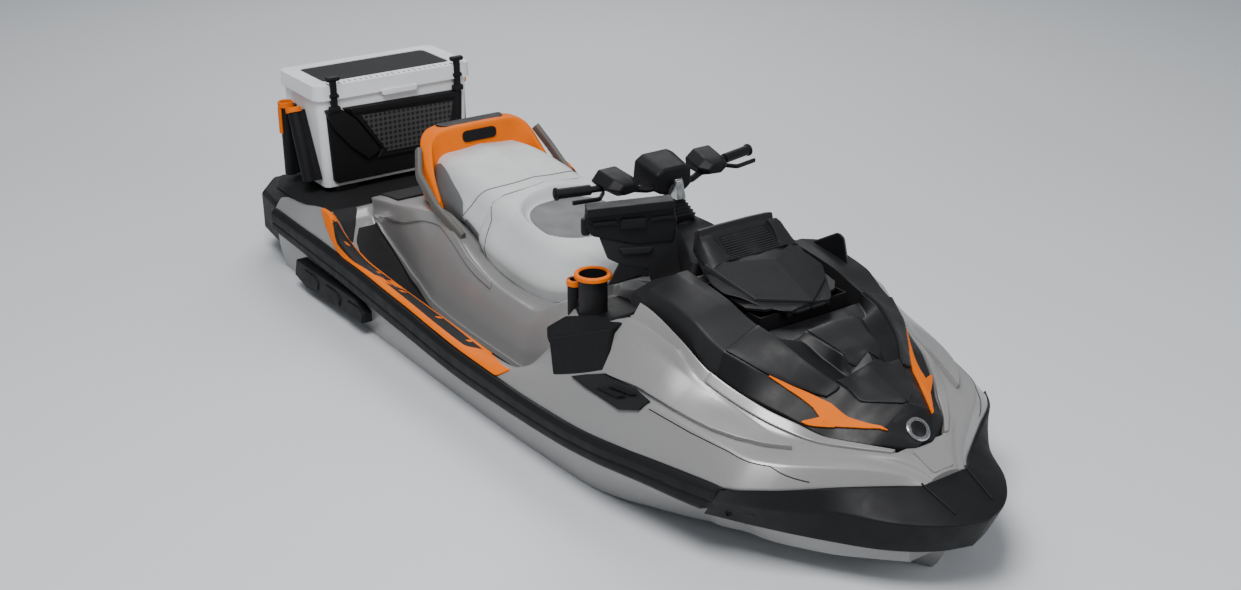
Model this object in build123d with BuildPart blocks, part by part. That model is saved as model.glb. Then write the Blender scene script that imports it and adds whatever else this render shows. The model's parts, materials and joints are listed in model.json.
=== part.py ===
from build123d import *
from collections import namedtuple
import math

# Long three-seat personal watercraft rigged for fishing, in mm.
# +X is the bow, +Y is port, +Z is up. The origin is amidships on the centreline at the waterline.

# Main stations and levels
BOW_X = 1865
STERN_X = -1865
TRANSOM_X = -1500
SEAM_Z = 205
PLATFORM_Z = 268
DECK_JOINT_X = 740
FIT = 0.3
GAP = 1.0
MOVE_GAP = 6

# Rub rail and bow bumper
RAIL_OUT = 22.5
RAIL_LOW_Z = 165
RAIL_FRONT_X = 1330
BUMPER_LOW_Z = 135
BUMPER_CREASE_Z = 240
BUMPER_TOP_Z = 302

# Engine bay and engine
BAY_X = (-560, 160)
BAY_HALF = 215
BAY_FLOOR_Z = -165
HATCH_X = (-480, 80)
HATCH_HALF = 180
BAY_ROOF = 30
ENGINE_SIZE = (500, 320, 390)

# Seat pocket
POCKET_X = (-840, 225)
POCKET_HALF = 236
POCKET_Z = 298

# Footwells
TUB_X = (-975, 385)
TUB_Y = (325, 562)
TUB_LOW_Z = 80
WELL_FLOOR_Z = 112
WELL_RIM_Z = 330
MAT_T = 6
MAT_X = (-700, 140)
MAT_Y = (398, 488)

# Front storage
BIN_X = (800, 1100)
BIN_HALF = 172
BIN_LOW_Z = 215
BIN_RIM_Z = 606
BIN_WALL = 5
LID_X = (748, 1135)
LID_HALF = 196
LID_LOW_Z = 614
LID_WALL = 6
LID_AXIS = (LID_X[1] - 17, 606)
LID_PIN_R = 5

# Steering
STEER_TOP = (455, 0, 745)
STEER_RAKE = 25
COLUMN_R = 16
COLLAR_R = 40
COLLAR_DROP = 45
HUB_R = 36
HUB_H = 62
BAR_R = 11
GRIP_R = 17
GRIP_LENGTH = 125

# Jet drive
JET_Z = -120
TUNNEL_HALF = 108
TUNNEL_FRONT_X = -1165
DUCT_HALF = 82
PUMP_R = 98
PUMP_BORE_R = 80
PUMP_REAR_X = TUNNEL_FRONT_X - 275
NECK_X = PUMP_REAR_X - 95
VENTURI_X = NECK_X - 37
VENTURI_R = 46
VENTURI_BORE_R = 38
SHAFT_R = 14
SHAFT_BORE_R = 20
IMPELLER_HUB_R = 34
IMPELLER_X = (TUNNEL_FRONT_X - 135, TUNNEL_FRONT_X - 55)
BLADES = 4
STATOR_VANES = 5
NOZZLE_AXIS_X = -1590
NOZZLE_FRONT_X = -1562
NOZZLE_REAR_X = -1700
NOZZLE_PIN_R = 8
NOZZLE_WALL = 9
BUCKET_R = 142
BUCKET_WALL = 7
BUCKET_ARM_Y = 112
BUCKET_PIN_R = 9

# Stern extension and boarding step
STEP_RECESS = 48
STEP_HALF = 170
STEP_AXIS_Z = 150
STEP_TUBE_R = 11
STEP_RISE = 78

# Cooler
COOLER_X = (-1835, -1478)
COOLER_HALF = 352
COOLER_LOW_Z = 300
COOLER_TOP_Z = 680
COOLER_WALL = 36
COOLER_LID_H = 60
COOLER_LID_LIP = 15
COOLER_PIN_R = 5
COOLER_HINGE_BACK = 16
ROD_BORE_R = 21
ROD_TUBE_R = 26
ROD_TUBE_LENGTH = 300

# Cup holder and rod clip
CUP_AT = (532, -374)
CUP_R = 52
CUP_BORE_R = 44
CUP_Z = (468, 606)
CLIP_AT = (448, -384)
CLIP_R = 26
CLIP_BORE_R = 17

# Half breadth of the hull-to-deck seam along the craft
SHEER = [
    (-1500, 570), (-1300, 575), (-780, 588), (-400, 600), (0, 605), (600, 605),
    (870, 598), (1100, 562), (1360, 498), (1540, 372), (1640, 258), (1705, 176),
]


def sheer(x):
    """Half breadth of the seam at station x, straight between the table's stations."""
    for (x0, y0), (x1, y1) in zip(SHEER, SHEER[1:]):
        if x <= x1:
            return y0 + (y1 - y0) * (x - x0) / (x1 - x0)
    return SHEER[-1][1]


def both_sides(half):
    """A closed section from a half section that runs from outboard to the centreline."""
    return half + [(-y, z) for y, z in reversed(half) if y > 0]


# Hull stations: keel, lower chine, upper chine
HullRow = namedtuple("HullRow", "x keel_z chine_y chine_z side_y side_z")
HULL = [
    HullRow(TRANSOM_X, -250, 468, -85, 540, -10),
    HullRow(-700, -270, 478, -90, 558, 0),
    HullRow(100, -275, 472, -85, 562, 0),
    HullRow(700, -262, 425, -55, 545, 5),
    HullRow(1100, -238, 335, -15, 468, 55),
    HullRow(1400, -185, 205, 35, 345, 105),
    HullRow(1600, -80, 95, 95, 195, 140),
    HullRow(1705, 25, 45, 130, 95, 160),
]

# Deck stations, outboard to inboard: edge by the rail, crest, foot, base of the pedestal, shoulder
DeckRow = namedtuple("DeckRow", "x edge_y edge_z crest_y crest_z foot_y foot_z base_y base_z top_y top_z")
DECK = [
    DeckRow(TRANSOM_X, 566, 266, 540, 300, 482, 268, 350, 266.5, 300, 267.4),
    DeckRow(-1300, 572, 264, 546, 330, 486, 268, 350, 266.5, 300, 267.4),
    DeckRow(-1040, 578, 260, 549, 382, 500, 290, 345, 290, 315, 392),
    DeckRow(-860, 584, 254, 568, 312, 536, 258, 345, 262, 292, 428),
    DeckRow(-500, 596, 249, 586, 253, 550, 250, 345, 255, 278, 440),
    DeckRow(-300, 600, 248, 590, 252, 555, 250, 345, 255, 292, 336),
    DeckRow(100, 604, 246, 592, 250, 556, 250, 350, 255, 298, 318),
    DeckRow(300, 604, 248, 586, 256, 560, 264, 400, 300, 332, 430),
    DeckRow(500, 604, 256, 562, 286, 516, 322, 450, 432, 386, 540),
    DeckRow(800, 600, 264, 550, 346, 502, 422, 426, 546, 384, 608),
    DeckRow(1000, 583, 274, 522, 400, 466, 446, 410, 494, 388, 566),
    DeckRow(1200, 540, 278, 486, 382, 432, 400, 372, 422, 336, 446),
    DeckRow(1380, 490, 284, 440, 358, 380, 373, 320, 384, 288, 394),
    DeckRow(1540, 330, 296, 290, 350, 240, 362, 190, 372, 144, 384),
    DeckRow(1640, 165, 302, 140, 336, 120, 343, 95, 350, 70, 355),
    DeckRow(1705, 92, 304, 80, 306, 60, 308, 45, 309, 30, 310.6),
]


def edge_z(x):
    """Height of the deck's edge at station x, straight between the deck's stations."""
    for low, high in zip(DECK, DECK[1:]):
        if x <= high.x:
            return low.edge_z + (high.edge_z - low.edge_z) * (x - low.x) / (high.x - low.x)
    return DECK[-1].edge_z


def deck_half(row):
    """Half section of the deck at one station."""
    return [
        (sheer(row.x), SEAM_Z),
        (row.edge_y, row.edge_z),
        (row.crest_y, row.crest_z),
        (row.foot_y, row.foot_z),
        (row.base_y, row.base_z),
        (row.top_y, row.top_z),
    ]


# Footwell stations: floor, ledge under the gunwale's lip, foot and base of the pedestal
WellRow = namedtuple(
    "WellRow", "x floor_z floor_in floor_out ledge_y ledge_z lip_y base_y base_z foot_y foot_z"
)
WELLS = [
    WellRow(-1060, 288, 352, 476, 486, 300, 494, 346, 320, 350, 300),
    WellRow(-880, 222, 352, 480, 496, 262, 530, 345, 262, 350, 236),
    WellRow(-720, WELL_FLOOR_Z, 362, 494, 506, 202, 552, 345, 260, 352, 190),
    WellRow(-300, WELL_FLOOR_Z, 388, 496, 508, 198, 556, 345, 256, 366, 190),
    WellRow(150, WELL_FLOOR_Z, 392, 496, 508, 198, 556, 363, 266, 374, 190),
    WellRow(370, 215, 440, 496, 510, 240, 540, 428, 345, 432, 262),
]

# Hood stations: half width, centre, ridge, lower edge
HoodRow = namedtuple("HoodRow", "x half centre_z ridge_y ridge_z edge_z")
HOOD = [
    HoodRow(800, 376, 640, 216, 664, 612),
    HoodRow(1000, 380, 630, 216, 636, 574),
    HoodRow(1110, 356, 572, 206, 594, 496),
    HoodRow(1210, 330, 588, 196, 562, 452),
    HoodRow(1350, 296, 540, 190, 498, 402),
    HoodRow(1450, 234, 502, 166, 458, 396),
    HoodRow(1545, 132, 462, 78, 432, 390),
    HoodRow(1605, 62, 396, 32, 390, 374),
]
TRAY_X = (800, 1605)
TRAY_Z = (430, 338)


def tray_z(x):
    """Height of the flat sloping tray that the hood sits on."""
    return TRAY_Z[0] + (TRAY_Z[1] - TRAY_Z[0]) * (x - TRAY_X[0]) / (TRAY_X[1] - TRAY_X[0])


# Jet tunnel, intake duct, engine bay, shaft bore and tub pockets are cut from the hull
with BuildPart() as hull:
    for row in HULL:
        with BuildSketch(Plane.YZ.offset(row.x)):
            with BuildLine():
                half = [
                    (sheer(row.x), SEAM_Z),
                    (row.side_y, row.side_z),
                    (row.chine_y, row.chine_z),
                    (0, row.keel_z),
                ]
                Polyline(*both_sides(half), close=True)
            make_face()
    loft(ruled=True)
    with BuildSketch(Plane.YZ.offset(TRANSOM_X)):
        with Locations((0, JET_Z)):
            Circle(TUNNEL_HALF)
        with Locations((0, JET_Z - 150)):
            Rectangle(2 * TUNNEL_HALF, 300)
    extrude(amount=TUNNEL_FRONT_X - TRANSOM_X, mode=Mode.SUBTRACT)
    with BuildSketch(Plane.XZ):
        with BuildLine():
            Polyline(
                (TUNNEL_FRONT_X, -320),
                (TUNNEL_FRONT_X, JET_Z + DUCT_HALF),
                (TUNNEL_FRONT_X + 90, JET_Z + DUCT_HALF),
                (TUNNEL_FRONT_X + 420, -320),
                close=True,
            )
        make_face()
    extrude(amount=DUCT_HALF, both=True, mode=Mode.SUBTRACT)
    with BuildSketch(Plane.XY.offset(BAY_FLOOR_Z)):
        with Locations(((BAY_X[0] + BAY_X[1]) / 2, 0)):
            Rectangle(BAY_X[1] - BAY_X[0], 2 * BAY_HALF)
    extrude(amount=SEAM_Z - BAY_FLOOR_Z, mode=Mode.SUBTRACT)
    with BuildSketch(Plane.YZ.offset(TUNNEL_FRONT_X)):
        with Locations((0, JET_Z)):
            Circle(SHAFT_BORE_R)
    extrude(amount=BAY_X[0] - TUNNEL_FRONT_X, mode=Mode.SUBTRACT)
    with BuildSketch(Plane.XY.offset(TUB_LOW_Z)):
        with Locations((sum(TUB_X) / 2, sum(TUB_Y) / 2), (sum(TUB_X) / 2, -sum(TUB_Y) / 2)):
            Rectangle(TUB_X[1] - TUB_X[0], TUB_Y[1] - TUB_Y[0])
    extrude(amount=SEAM_Z - TUB_LOW_Z, mode=Mode.SUBTRACT)

# Deck with footwells, seat pocket, engine hatch, hood tray, storage well and cup pocket
with BuildPart() as deck_form:
    for row in DECK:
        with BuildSketch(Plane.YZ.offset(row.x)):
            with BuildLine():
                Polyline(*both_sides(deck_half(row)), close=True)
            make_face()
    loft(ruled=True)
    with BuildSketch(Plane.XY.offset(TUB_LOW_Z)):
        with Locations((sum(TUB_X) / 2, sum(TUB_Y) / 2), (sum(TUB_X) / 2, -sum(TUB_Y) / 2)):
            Rectangle(TUB_X[1] - TUB_X[0], TUB_Y[1] - TUB_Y[0])
    extrude(amount=SEAM_Z - TUB_LOW_Z)
    for side in (1, -1):
        for row in WELLS:
            with BuildSketch(Plane.YZ.offset(row.x)):
                with BuildLine():
                    Polyline(
                        (side * row.floor_in, row.floor_z),
                        (side * row.floor_out, row.floor_z),
                        (side * row.ledge_y, row.ledge_z),
                        (side * row.lip_y, WELL_RIM_Z),
                        (side * row.base_y, WELL_RIM_Z + 20),
                        (side * row.base_y, row.base_z),
                        (side * row.foot_y, row.foot_z),
                        close=True,
                    )
                make_face()
        loft(ruled=True, mode=Mode.SUBTRACT)
    with BuildSketch(Plane.XY.offset(POCKET_Z)):
        with Locations((sum(POCKET_X) / 2, 0)):
            RectangleRounded(POCKET_X[1] - POCKET_X[0], 2 * POCKET_HALF, 60)
    extrude(amount=400, mode=Mode.SUBTRACT)
    with BuildSketch(Plane.XY.offset(SEAM_Z)):
        with Locations((sum(HATCH_X) / 2, 0)):
            Rectangle(HATCH_X[1] - HATCH_X[0], 2 * HATCH_HALF)
    extrude(amount=POCKET_Z - SEAM_Z, mode=Mode.SUBTRACT)
    with BuildSketch(Plane.XY.offset(SEAM_Z)):
        with Locations((sum(BAY_X) / 2, 0)):
            Rectangle(BAY_X[1] - BAY_X[0], 2 * BAY_HALF)
    extrude(amount=POCKET_Z - BAY_ROOF - SEAM_Z, mode=Mode.SUBTRACT)
    for row in HOOD:
        with BuildSketch(Plane.YZ.offset(row.x)):
            with BuildLine():
                Polyline(
                    *both_sides([(row.half + GAP, tray_z(row.x)), (row.half + GAP, 900)]),
                    close=True,
                )
            make_face()
    loft(ruled=True, mode=Mode.SUBTRACT)
    with BuildSketch(Plane.XY.offset(BIN_LOW_Z)):
        with Locations((sum(BIN_X) / 2, 0)):
            Rectangle(BIN_X[1] - BIN_X[0], 2 * BIN_HALF)
    extrude(amount=600, mode=Mode.SUBTRACT)
    with BuildSketch(Plane.XY.offset(CUP_Z[0] - FIT)):
        with Locations(CUP_AT):
            Circle(CUP_R - 6 + FIT)
    extrude(amount=400, mode=Mode.SUBTRACT)

# The deck comes in two mouldings that meet ahead of the console
with BuildPart() as deck:
    add(deck_form.part)
    split(bisect_by=Plane.YZ.offset(DECK_JOINT_X), keep=Keep.BOTTOM)

with BuildPart() as foredeck:
    add(deck_form.part)
    split(bisect_by=Plane.YZ.offset(DECK_JOINT_X), keep=Keep.TOP)

# Two rub rails along the seam
with BuildPart() as rub_rails:
    stations = [TRANSOM_X + 10] + [x for x, y in SHEER if TRANSOM_X < x < RAIL_FRONT_X] + [RAIL_FRONT_X]
    for side in (1, -1):
        for x in stations:
            y = sheer(x)
            top = edge_z(x) - GAP
            with BuildSketch(Plane.YZ.offset(x)):
                with BuildLine():
                    Polyline(
                        (side * (y - 30), RAIL_LOW_Z),
                        (side * (y + RAIL_OUT - 9), RAIL_LOW_Z),
                        (side * (y + RAIL_OUT), RAIL_LOW_Z + 16),
                        (side * (y + RAIL_OUT), top - 18),
                        (side * (y + RAIL_OUT - 14), top),
                        (side * (y - 10), top),
                        close=True,
                    )
                make_face()
        loft(ruled=True)
    add(hull.part, mode=Mode.SUBTRACT)
    add(deck_form.part, mode=Mode.SUBTRACT)

# Bow bumper: outlines at its lower edge, crease and top, seen from above
BumperRow = namedtuple("BumperRow", "low crease top")
BUMPER = [
    BumperRow((1290, 500), (1345, 540), (1365, 524)),
    BumperRow((1500, 392), (1490, 462), (1480, 424)),
    BumperRow((1680, 270), (1690, 300), (1640, 190)),
    BumperRow((1775, 150), (1800, 150), (1705, 92)),
    BumperRow((BOW_X - 35, 40), (BOW_X, 50), (1722, 40)),
]
with BuildPart() as bow_bumper:
    levels = [(BUMPER_LOW_Z, "low"), (BUMPER_CREASE_Z, "crease"), (BUMPER_TOP_Z, "top")]
    for lower, upper in zip(levels, levels[1:]):
        for z, name in (lower, upper):
            rim = [getattr(row, name) for row in BUMPER]
            with BuildSketch(Plane.XY.offset(z)):
                with BuildLine():
                    Polyline(*rim, *[(x, -y) for x, y in reversed(rim)], close=True)
                make_face()
        loft(ruled=True)
    add(hull.part, mode=Mode.SUBTRACT)
    add(deck_form.part, mode=Mode.SUBTRACT)
    add(rub_rails.part, mode=Mode.SUBTRACT)

# Stern extension with chamfered corners and a recess for the boarding step
with BuildPart() as stern_extension:
    with BuildSketch(Plane.XY.offset(100)):
        with BuildLine():
            half = [(TRANSOM_X, 560), (-1720, 534), (STERN_X, 420)]
            Polyline(*half, *[(x, -y) for x, y in reversed(half)], close=True)
        make_face()
    extrude(amount=PLATFORM_Z - 100)
    chamfer(stern_extension.faces().sort_by(Axis.Z)[-1].edges().sort_by(Axis.X)[:-1], 12)
    with BuildSketch(Plane.XY.offset(100)):
        with Locations((STERN_X, 0)):
            Rectangle(2 * STEP_RECESS, 2 * (STEP_HALF + 40))
    extrude(amount=PLATFORM_Z - 114, mode=Mode.SUBTRACT)

# Boarding step, folded up into the recess
step_x = STERN_X + 16
with BuildPart() as boarding_step:
    with BuildLine(Plane.YZ.offset(step_x)) as loop:
        FilletPolyline(
            (-STEP_HALF, STEP_AXIS_Z),
            (-STEP_HALF, STEP_AXIS_Z + STEP_RISE),
            (STEP_HALF, STEP_AXIS_Z + STEP_RISE),
            (STEP_HALF, STEP_AXIS_Z),
            radius=30,
        )
    with BuildSketch(Plane(origin=loop.line @ 0, z_dir=loop.line % 0)):
        Circle(STEP_TUBE_R)
    sweep()
    with BuildSketch(Plane.YZ.offset(step_x)):
        with Locations((0, STEP_AXIS_Z + STEP_RISE)):
            Rectangle(2 * STEP_HALF - 80, 30)
    extrude(amount=7, both=True)
    with BuildSketch(Plane.XZ.offset(-STEP_HALF - 14)):
        with Locations((step_x, STEP_AXIS_Z)):
            Circle(15)
    extrude(amount=2 * STEP_HALF + 28)
    with BuildSketch(Plane.XZ.offset(-STEP_HALF - 14)):
        with Locations((step_x, STEP_AXIS_Z)):
            Circle(8 + FIT)
    extrude(amount=2 * STEP_HALF + 28, mode=Mode.SUBTRACT)

with BuildPart() as step_hinge:
    with BuildSketch(Plane.XZ.offset(-STEP_HALF - 40)):
        with Locations((step_x, STEP_AXIS_Z)):
            Circle(8)
    extrude(amount=2 * STEP_HALF + 80)

# Mats on the rear platform and in the footwells
with BuildPart() as rear_mat:
    with BuildSketch(Plane.XY.offset(PLATFORM_Z)):
        with BuildLine():
            half = [(-1085, 330), (-1310, 470), (-1700, 470), (STERN_X + 25, 390)]
            Polyline(*half, *[(x, -y) for x, y in reversed(half)], close=True)
        make_face()
    extrude(amount=MAT_T)
    add(deck_form.part, mode=Mode.SUBTRACT)

with BuildPart() as footwell_mats:
    with BuildSketch(Plane.XY.offset(WELL_FLOOR_Z)):
        with Locations((sum(MAT_X) / 2, sum(MAT_Y) / 2), (sum(MAT_X) / 2, -sum(MAT_Y) / 2)):
            RectangleRounded(MAT_X[1] - MAT_X[0], MAT_Y[1] - MAT_Y[0], 20)
    extrude(amount=MAT_T)

# Accent trims along the crest of each gunwale
TRIM_T = 7
with BuildPart() as side_trims:
    for side in (1, -1):
        for row in [r for r in DECK if -1040 <= r.x <= 300]:
            share = 0.55 if row.x > -900 else 0.4
            in_y = row.crest_y + (row.foot_y - row.crest_y) * share
            in_z = row.crest_z + (row.foot_z - row.crest_z) * share
            with BuildSketch(Plane.YZ.offset(row.x)):
                with BuildLine():
                    Polyline(
                        (side * row.crest_y, row.crest_z),
                        (side * in_y, in_z),
                        (side * in_y, in_z + TRIM_T),
                        (side * row.crest_y, row.crest_z + TRIM_T),
                        close=True,
                    )
                make_face()
        loft(ruled=True)

# Seat cushion: stations with its skirt, shoulder and crown
SeatRow = namedtuple("SeatRow", "x skirt_y skirt_z shoulder_y shoulder_z crown_z")
SEAT = [
    SeatRow(-860, 200, 434, 165, 590, 606),
    SeatRow(-700, 244, 440, 190, 600, 622),
    SeatRow(-500, 262, 446, 205, 578, 600),
    SeatRow(-300, 280, 342, 200, 555, 575),
    SeatRow(-100, 286, 336, 196, 520, 542),
    SeatRow(100, 262, 325, 180, 508, 526),
    SeatRow(215, 150, 384, 110, 470, 480),
]
with BuildPart() as seat_cushion:
    for row in SEAT:
        with BuildSketch(Plane.YZ.offset(row.x)):
            with BuildLine():
                half = [
                    (row.skirt_y - 30, row.skirt_z),
                    (row.skirt_y, row.skirt_z + 26),
                    (row.shoulder_y, row.shoulder_z),
                    (row.shoulder_y * 0.5, row.crown_z),
                ]
                Polyline(*both_sides(half), close=True)
            make_face()
    loft(ruled=True)
    with BuildSketch(Plane.XY.offset(POCKET_Z)):
        with Locations((sum(POCKET_X) / 2, 0)):
            RectangleRounded(POCKET_X[1] - POCKET_X[0] - 8, 2 * POCKET_HALF - 8, 58)
    extrude(amount=130)
    with BuildSketch(Plane.XY.offset(POCKET_Z)):
        with Locations((sum(HATCH_X) / 2, 0)):
            Rectangle(HATCH_X[1] - HATCH_X[0] - 40, 2 * HATCH_HALF - 40)
    extrude(amount=60, mode=Mode.SUBTRACT)

# Horseshoe grab handle behind the seat
with BuildPart() as seat_handle:
    with BuildLine() as loop:
        FilletPolyline(
            (-640, -262, 505),
            (-790, -236, 592),
            (-885, -190, 655),
            (-885, 190, 655),
            (-790, 236, 592),
            (-640, 262, 505),
            radius=55,
        )
    with BuildSketch(Plane(origin=loop.line @ 0, z_dir=loop.line % 0, x_dir=(0, 1, 0))):
        RectangleRounded(30, 64, 10)
    sweep()
    with BuildSketch(Plane.XY.offset(390)):
        with Locations((-882, 0)):
            Rectangle(30, 260)
    extrude(amount=250)
    add(seat_cushion.part, mode=Mode.SUBTRACT)
    add(deck_form.part, mode=Mode.SUBTRACT)

# Grab bars that curve up each side of the seat to the handle
with BuildPart() as grab_bars:
    for side in (1, -1):
        with BuildLine() as curve:
            FilletPolyline(
                (-430, side * 292, 404),
                (-600, side * 304, 470),
                (-740, side * 298, 560),
                (-800, side * 262, 640),
                radius=90,
            )
        with BuildSketch(Plane(origin=curve.line @ 0, z_dir=curve.line % 0, x_dir=(0, 1, 0))):
            RectangleRounded(20, 40, 8)
        sweep()
    add(seat_cushion.part, mode=Mode.SUBTRACT)
    add(seat_handle.part, mode=Mode.SUBTRACT)
    add(deck_form.part, mode=Mode.SUBTRACT)

# Engine: one plain block on the bay floor
with BuildPart() as engine:
    with BuildSketch(Plane.XY.offset(BAY_FLOOR_Z)):
        with Locations((sum(BAY_X) / 2, 0)):
            Rectangle(ENGINE_SIZE[0], ENGINE_SIZE[1])
    extrude(amount=ENGINE_SIZE[2])

# Hood panel on its tray, open round the storage lid
with BuildPart() as hood:
    for row in HOOD:
        with BuildSketch(Plane.YZ.offset(row.x)):
            with BuildLine():
                half = [
                    (row.half, tray_z(row.x)),
                    (row.half, row.edge_z),
                    (row.ridge_y, row.ridge_z),
                    (row.ridge_y * 0.45, row.centre_z),
                ]
                Polyline(*both_sides(half), close=True)
            make_face()
    loft(ruled=True)
    with BuildSketch(Plane.XY.offset(BIN_LOW_Z)):
        with Locations(((LID_X[0] + LID_X[1]) / 2, 0)):
            Rectangle(LID_X[1] - LID_X[0] + 2 * MOVE_GAP + 26, 2 * (LID_HALF + MOVE_GAP))
    extrude(amount=600, mode=Mode.SUBTRACT)

# Storage bin with a rim under the lid and the lid's hinge pin
with BuildPart() as storage_bin:
    with BuildSketch(Plane.XY.offset(BIN_LOW_Z)):
        with Locations((sum(BIN_X) / 2, 0)):
            Rectangle(BIN_X[1] - BIN_X[0] - 2 * GAP, 2 * BIN_HALF - 2 * GAP)
    extrude(amount=BIN_RIM_Z - BIN_LOW_Z)
    with BuildSketch(Plane.XY.offset(BIN_LOW_Z + BIN_WALL)):
        with Locations((sum(BIN_X) / 2, 0)):
            Rectangle(BIN_X[1] - BIN_X[0] - 2 * BIN_WALL, 2 * BIN_HALF - 2 * BIN_WALL)
    extrude(amount=600, mode=Mode.SUBTRACT)
    with BuildSketch(Plane.XZ.offset(-80)):
        with Locations(LID_AXIS):
            Circle(LID_PIN_R)
    extrude(amount=160)
    with BuildSketch(Plane.XZ):
        with Locations(((BIN_X[1] + LID_AXIS[0]) / 2, LID_AXIS[1] - 6)):
            Rectangle(LID_AXIS[0] - BIN_X[1] + 14, 12)
    extrude(amount=84, both=True)
    with BuildSketch(Plane.XZ):
        with Locations(((BIN_X[1] + LID_AXIS[0]) / 2 + 8, LID_AXIS[1])):
            Rectangle(LID_AXIS[0] - BIN_X[1] + 14, 40)
    extrude(amount=66, both=True, mode=Mode.SUBTRACT)
    with BuildSketch(Plane.XZ.offset(-80)):
        with Locations(LID_AXIS):
            Circle(LID_PIN_R)
    extrude(amount=160)

# Storage lid with its raised visor, hollow from below
LID_SIDE = [
    (LID_X[0] + 14, LID_LOW_Z),
    (LID_X[0], 762),
    (LID_X[0] + 24, 772),
    (LID_X[0] + 132, 712),
    (LID_X[1], 644),
    (LID_X[1], LID_LOW_Z),
]
with BuildPart() as storage_lid:
    with BuildSketch(Plane.XZ):
        with BuildLine():
            Polyline(*LID_SIDE, close=True)
        make_face()
    extrude(amount=LID_HALF, both=True)
    chamfer(storage_lid.edges().filter_by(Axis.Y, reverse=True).sort_by(Axis.Z)[-4:], 14)
    with BuildSketch(Plane.XZ):
        with BuildLine():
            Polyline(
                (LID_X[0] + 14 + LID_WALL, LID_LOW_Z),
                (LID_X[0] + 8 + LID_WALL, 740),
                (LID_X[0] + 34, 750),
                (LID_X[0] + 130, 698),
                (LID_X[1] - LID_WALL, 634),
                (LID_X[1] - LID_WALL, LID_LOW_Z),
                close=True,
            )
        make_face()
    extrude(amount=LID_HALF - LID_WALL - 14, both=True, mode=Mode.SUBTRACT)
    with BuildSketch(Plane.XZ):
        with Locations(LID_AXIS):
            Circle(LID_PIN_R + 6)
        with Locations((LID_AXIS[0], LID_AXIS[1] + 14)):
            Rectangle(2 * LID_PIN_R + 8, 52)
    extrude(amount=56, both=True)
    with BuildSketch(Plane.XZ):
        with Locations(LID_AXIS):
            Circle(LID_PIN_R + FIT)
    extrude(amount=56, both=True, mode=Mode.SUBTRACT)

# Steering console between the seat and the storage lid, with the column's collar
rake = math.radians(STEER_RAKE)
axis_dir = Vector(-math.sin(rake), 0, math.cos(rake))
column_plane = Plane(origin=STEER_TOP, x_dir=(0, 1, 0), z_dir=axis_dir)
ConsoleRow = namedtuple("ConsoleRow", "z rear_x front_x half")
CONSOLE = [
    ConsoleRow(400, 300, 735, 200),
    ConsoleRow(560, 372, 735, 165),
    ConsoleRow(640, 408, 728, 120),
    ConsoleRow(690, 428, 600, 66),
]
with BuildPart() as console:
    for row in CONSOLE:
        with BuildSketch(Plane.XY.offset(row.z)):
            with Locations(((row.rear_x + row.front_x) / 2, 0)):
                RectangleRounded(row.front_x - row.rear_x, 2 * row.half, 30)
    loft(ruled=True)
    with BuildSketch(column_plane.offset(-COLLAR_DROP - 60)):
        Circle(COLLAR_R)
    extrude(amount=60)
    with BuildSketch(column_plane.offset(-COLLAR_DROP - 120)):
        Circle(COLUMN_R + FIT)
    extrude(amount=120, mode=Mode.SUBTRACT)
    add(deck_form.part, mode=Mode.SUBTRACT)

# Handlebar: column, hub and bent bar
GRIP_END = (352, 398, 820)
GRIP_START = (372, 398 - GRIP_LENGTH, 816)
grip_dir = (Vector(*GRIP_END) - Vector(*GRIP_START)).normalized()
bend = Vector(*GRIP_START) - grip_dir * 60
with BuildPart() as handlebar:
    with BuildSketch(column_plane.offset(-COLLAR_DROP - 110)):
        Circle(COLUMN_R)
    extrude(amount=120 + HUB_H)
    with BuildSketch(column_plane.offset(-COLLAR_DROP + MOVE_GAP)):
        Circle(HUB_R)
    extrude(amount=HUB_H + COLLAR_DROP - MOVE_GAP, taper=6)
    with BuildLine() as bar:
        FilletPolyline(
            (GRIP_END[0], -GRIP_END[1], GRIP_END[2]),
            (bend.X, -bend.Y, bend.Z),
            (430, -90, 796),
            (430, 90, 796),
            (bend.X, bend.Y, bend.Z),
            GRIP_END,
            radius=45,
        )
    with BuildSketch(Plane(origin=bar.line @ 0, z_dir=bar.line % 0)):
        Circle(BAR_R)
    sweep()

# Parts carried by the bar: grips, control housings, levers, gauge pod
with BuildPart() as grips:
    for side in (1, -1):
        start = Vector(GRIP_START[0], side * GRIP_START[1], GRIP_START[2])
        way = Vector(grip_dir.X, side * grip_dir.Y, grip_dir.Z)
        with BuildSketch(Plane(origin=start, z_dir=way)):
            Circle(GRIP_R)
            Circle(BAR_R + FIT, mode=Mode.SUBTRACT)
        extrude(amount=GRIP_LENGTH - 10)
        with BuildSketch(Plane(origin=start + way * (GRIP_LENGTH - 10), z_dir=way)):
            Circle(GRIP_R + 4)
            Circle(BAR_R + FIT, mode=Mode.SUBTRACT)
        extrude(amount=8)

with BuildPart() as control_housings:
    for side in (1, -1):
        start = Vector(GRIP_START[0], side * GRIP_START[1], GRIP_START[2])
        way = Vector(-grip_dir.X, -side * grip_dir.Y, -grip_dir.Z)
        with BuildSketch(Plane(origin=start + way * GAP, z_dir=way, x_dir=(1, 0, 0))):
            RectangleRounded(62, 66, 12)
        extrude(amount=66, taper=7)
    add(handlebar.part, mode=Mode.SUBTRACT)

with BuildPart() as hand_levers:
    for side in (1, -1):
        with BuildLine() as arc:
            FilletPolyline(
                (GRIP_START[0] + 30, side * (GRIP_START[1] - 30), GRIP_START[2] - 8),
                (GRIP_START[0] + 62, side * (GRIP_START[1] + 6), GRIP_START[2] - 12),
                (GRIP_START[0] + 44, side * (GRIP_START[1] + 96), GRIP_START[2] - 12),
                radius=18,
            )
        with BuildSketch(Plane(origin=arc.line @ 0, z_dir=arc.line % 0)):
            RectangleRounded(10, 15, 4)
        sweep()
    add(control_housings.part, mode=Mode.SUBTRACT)

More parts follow.
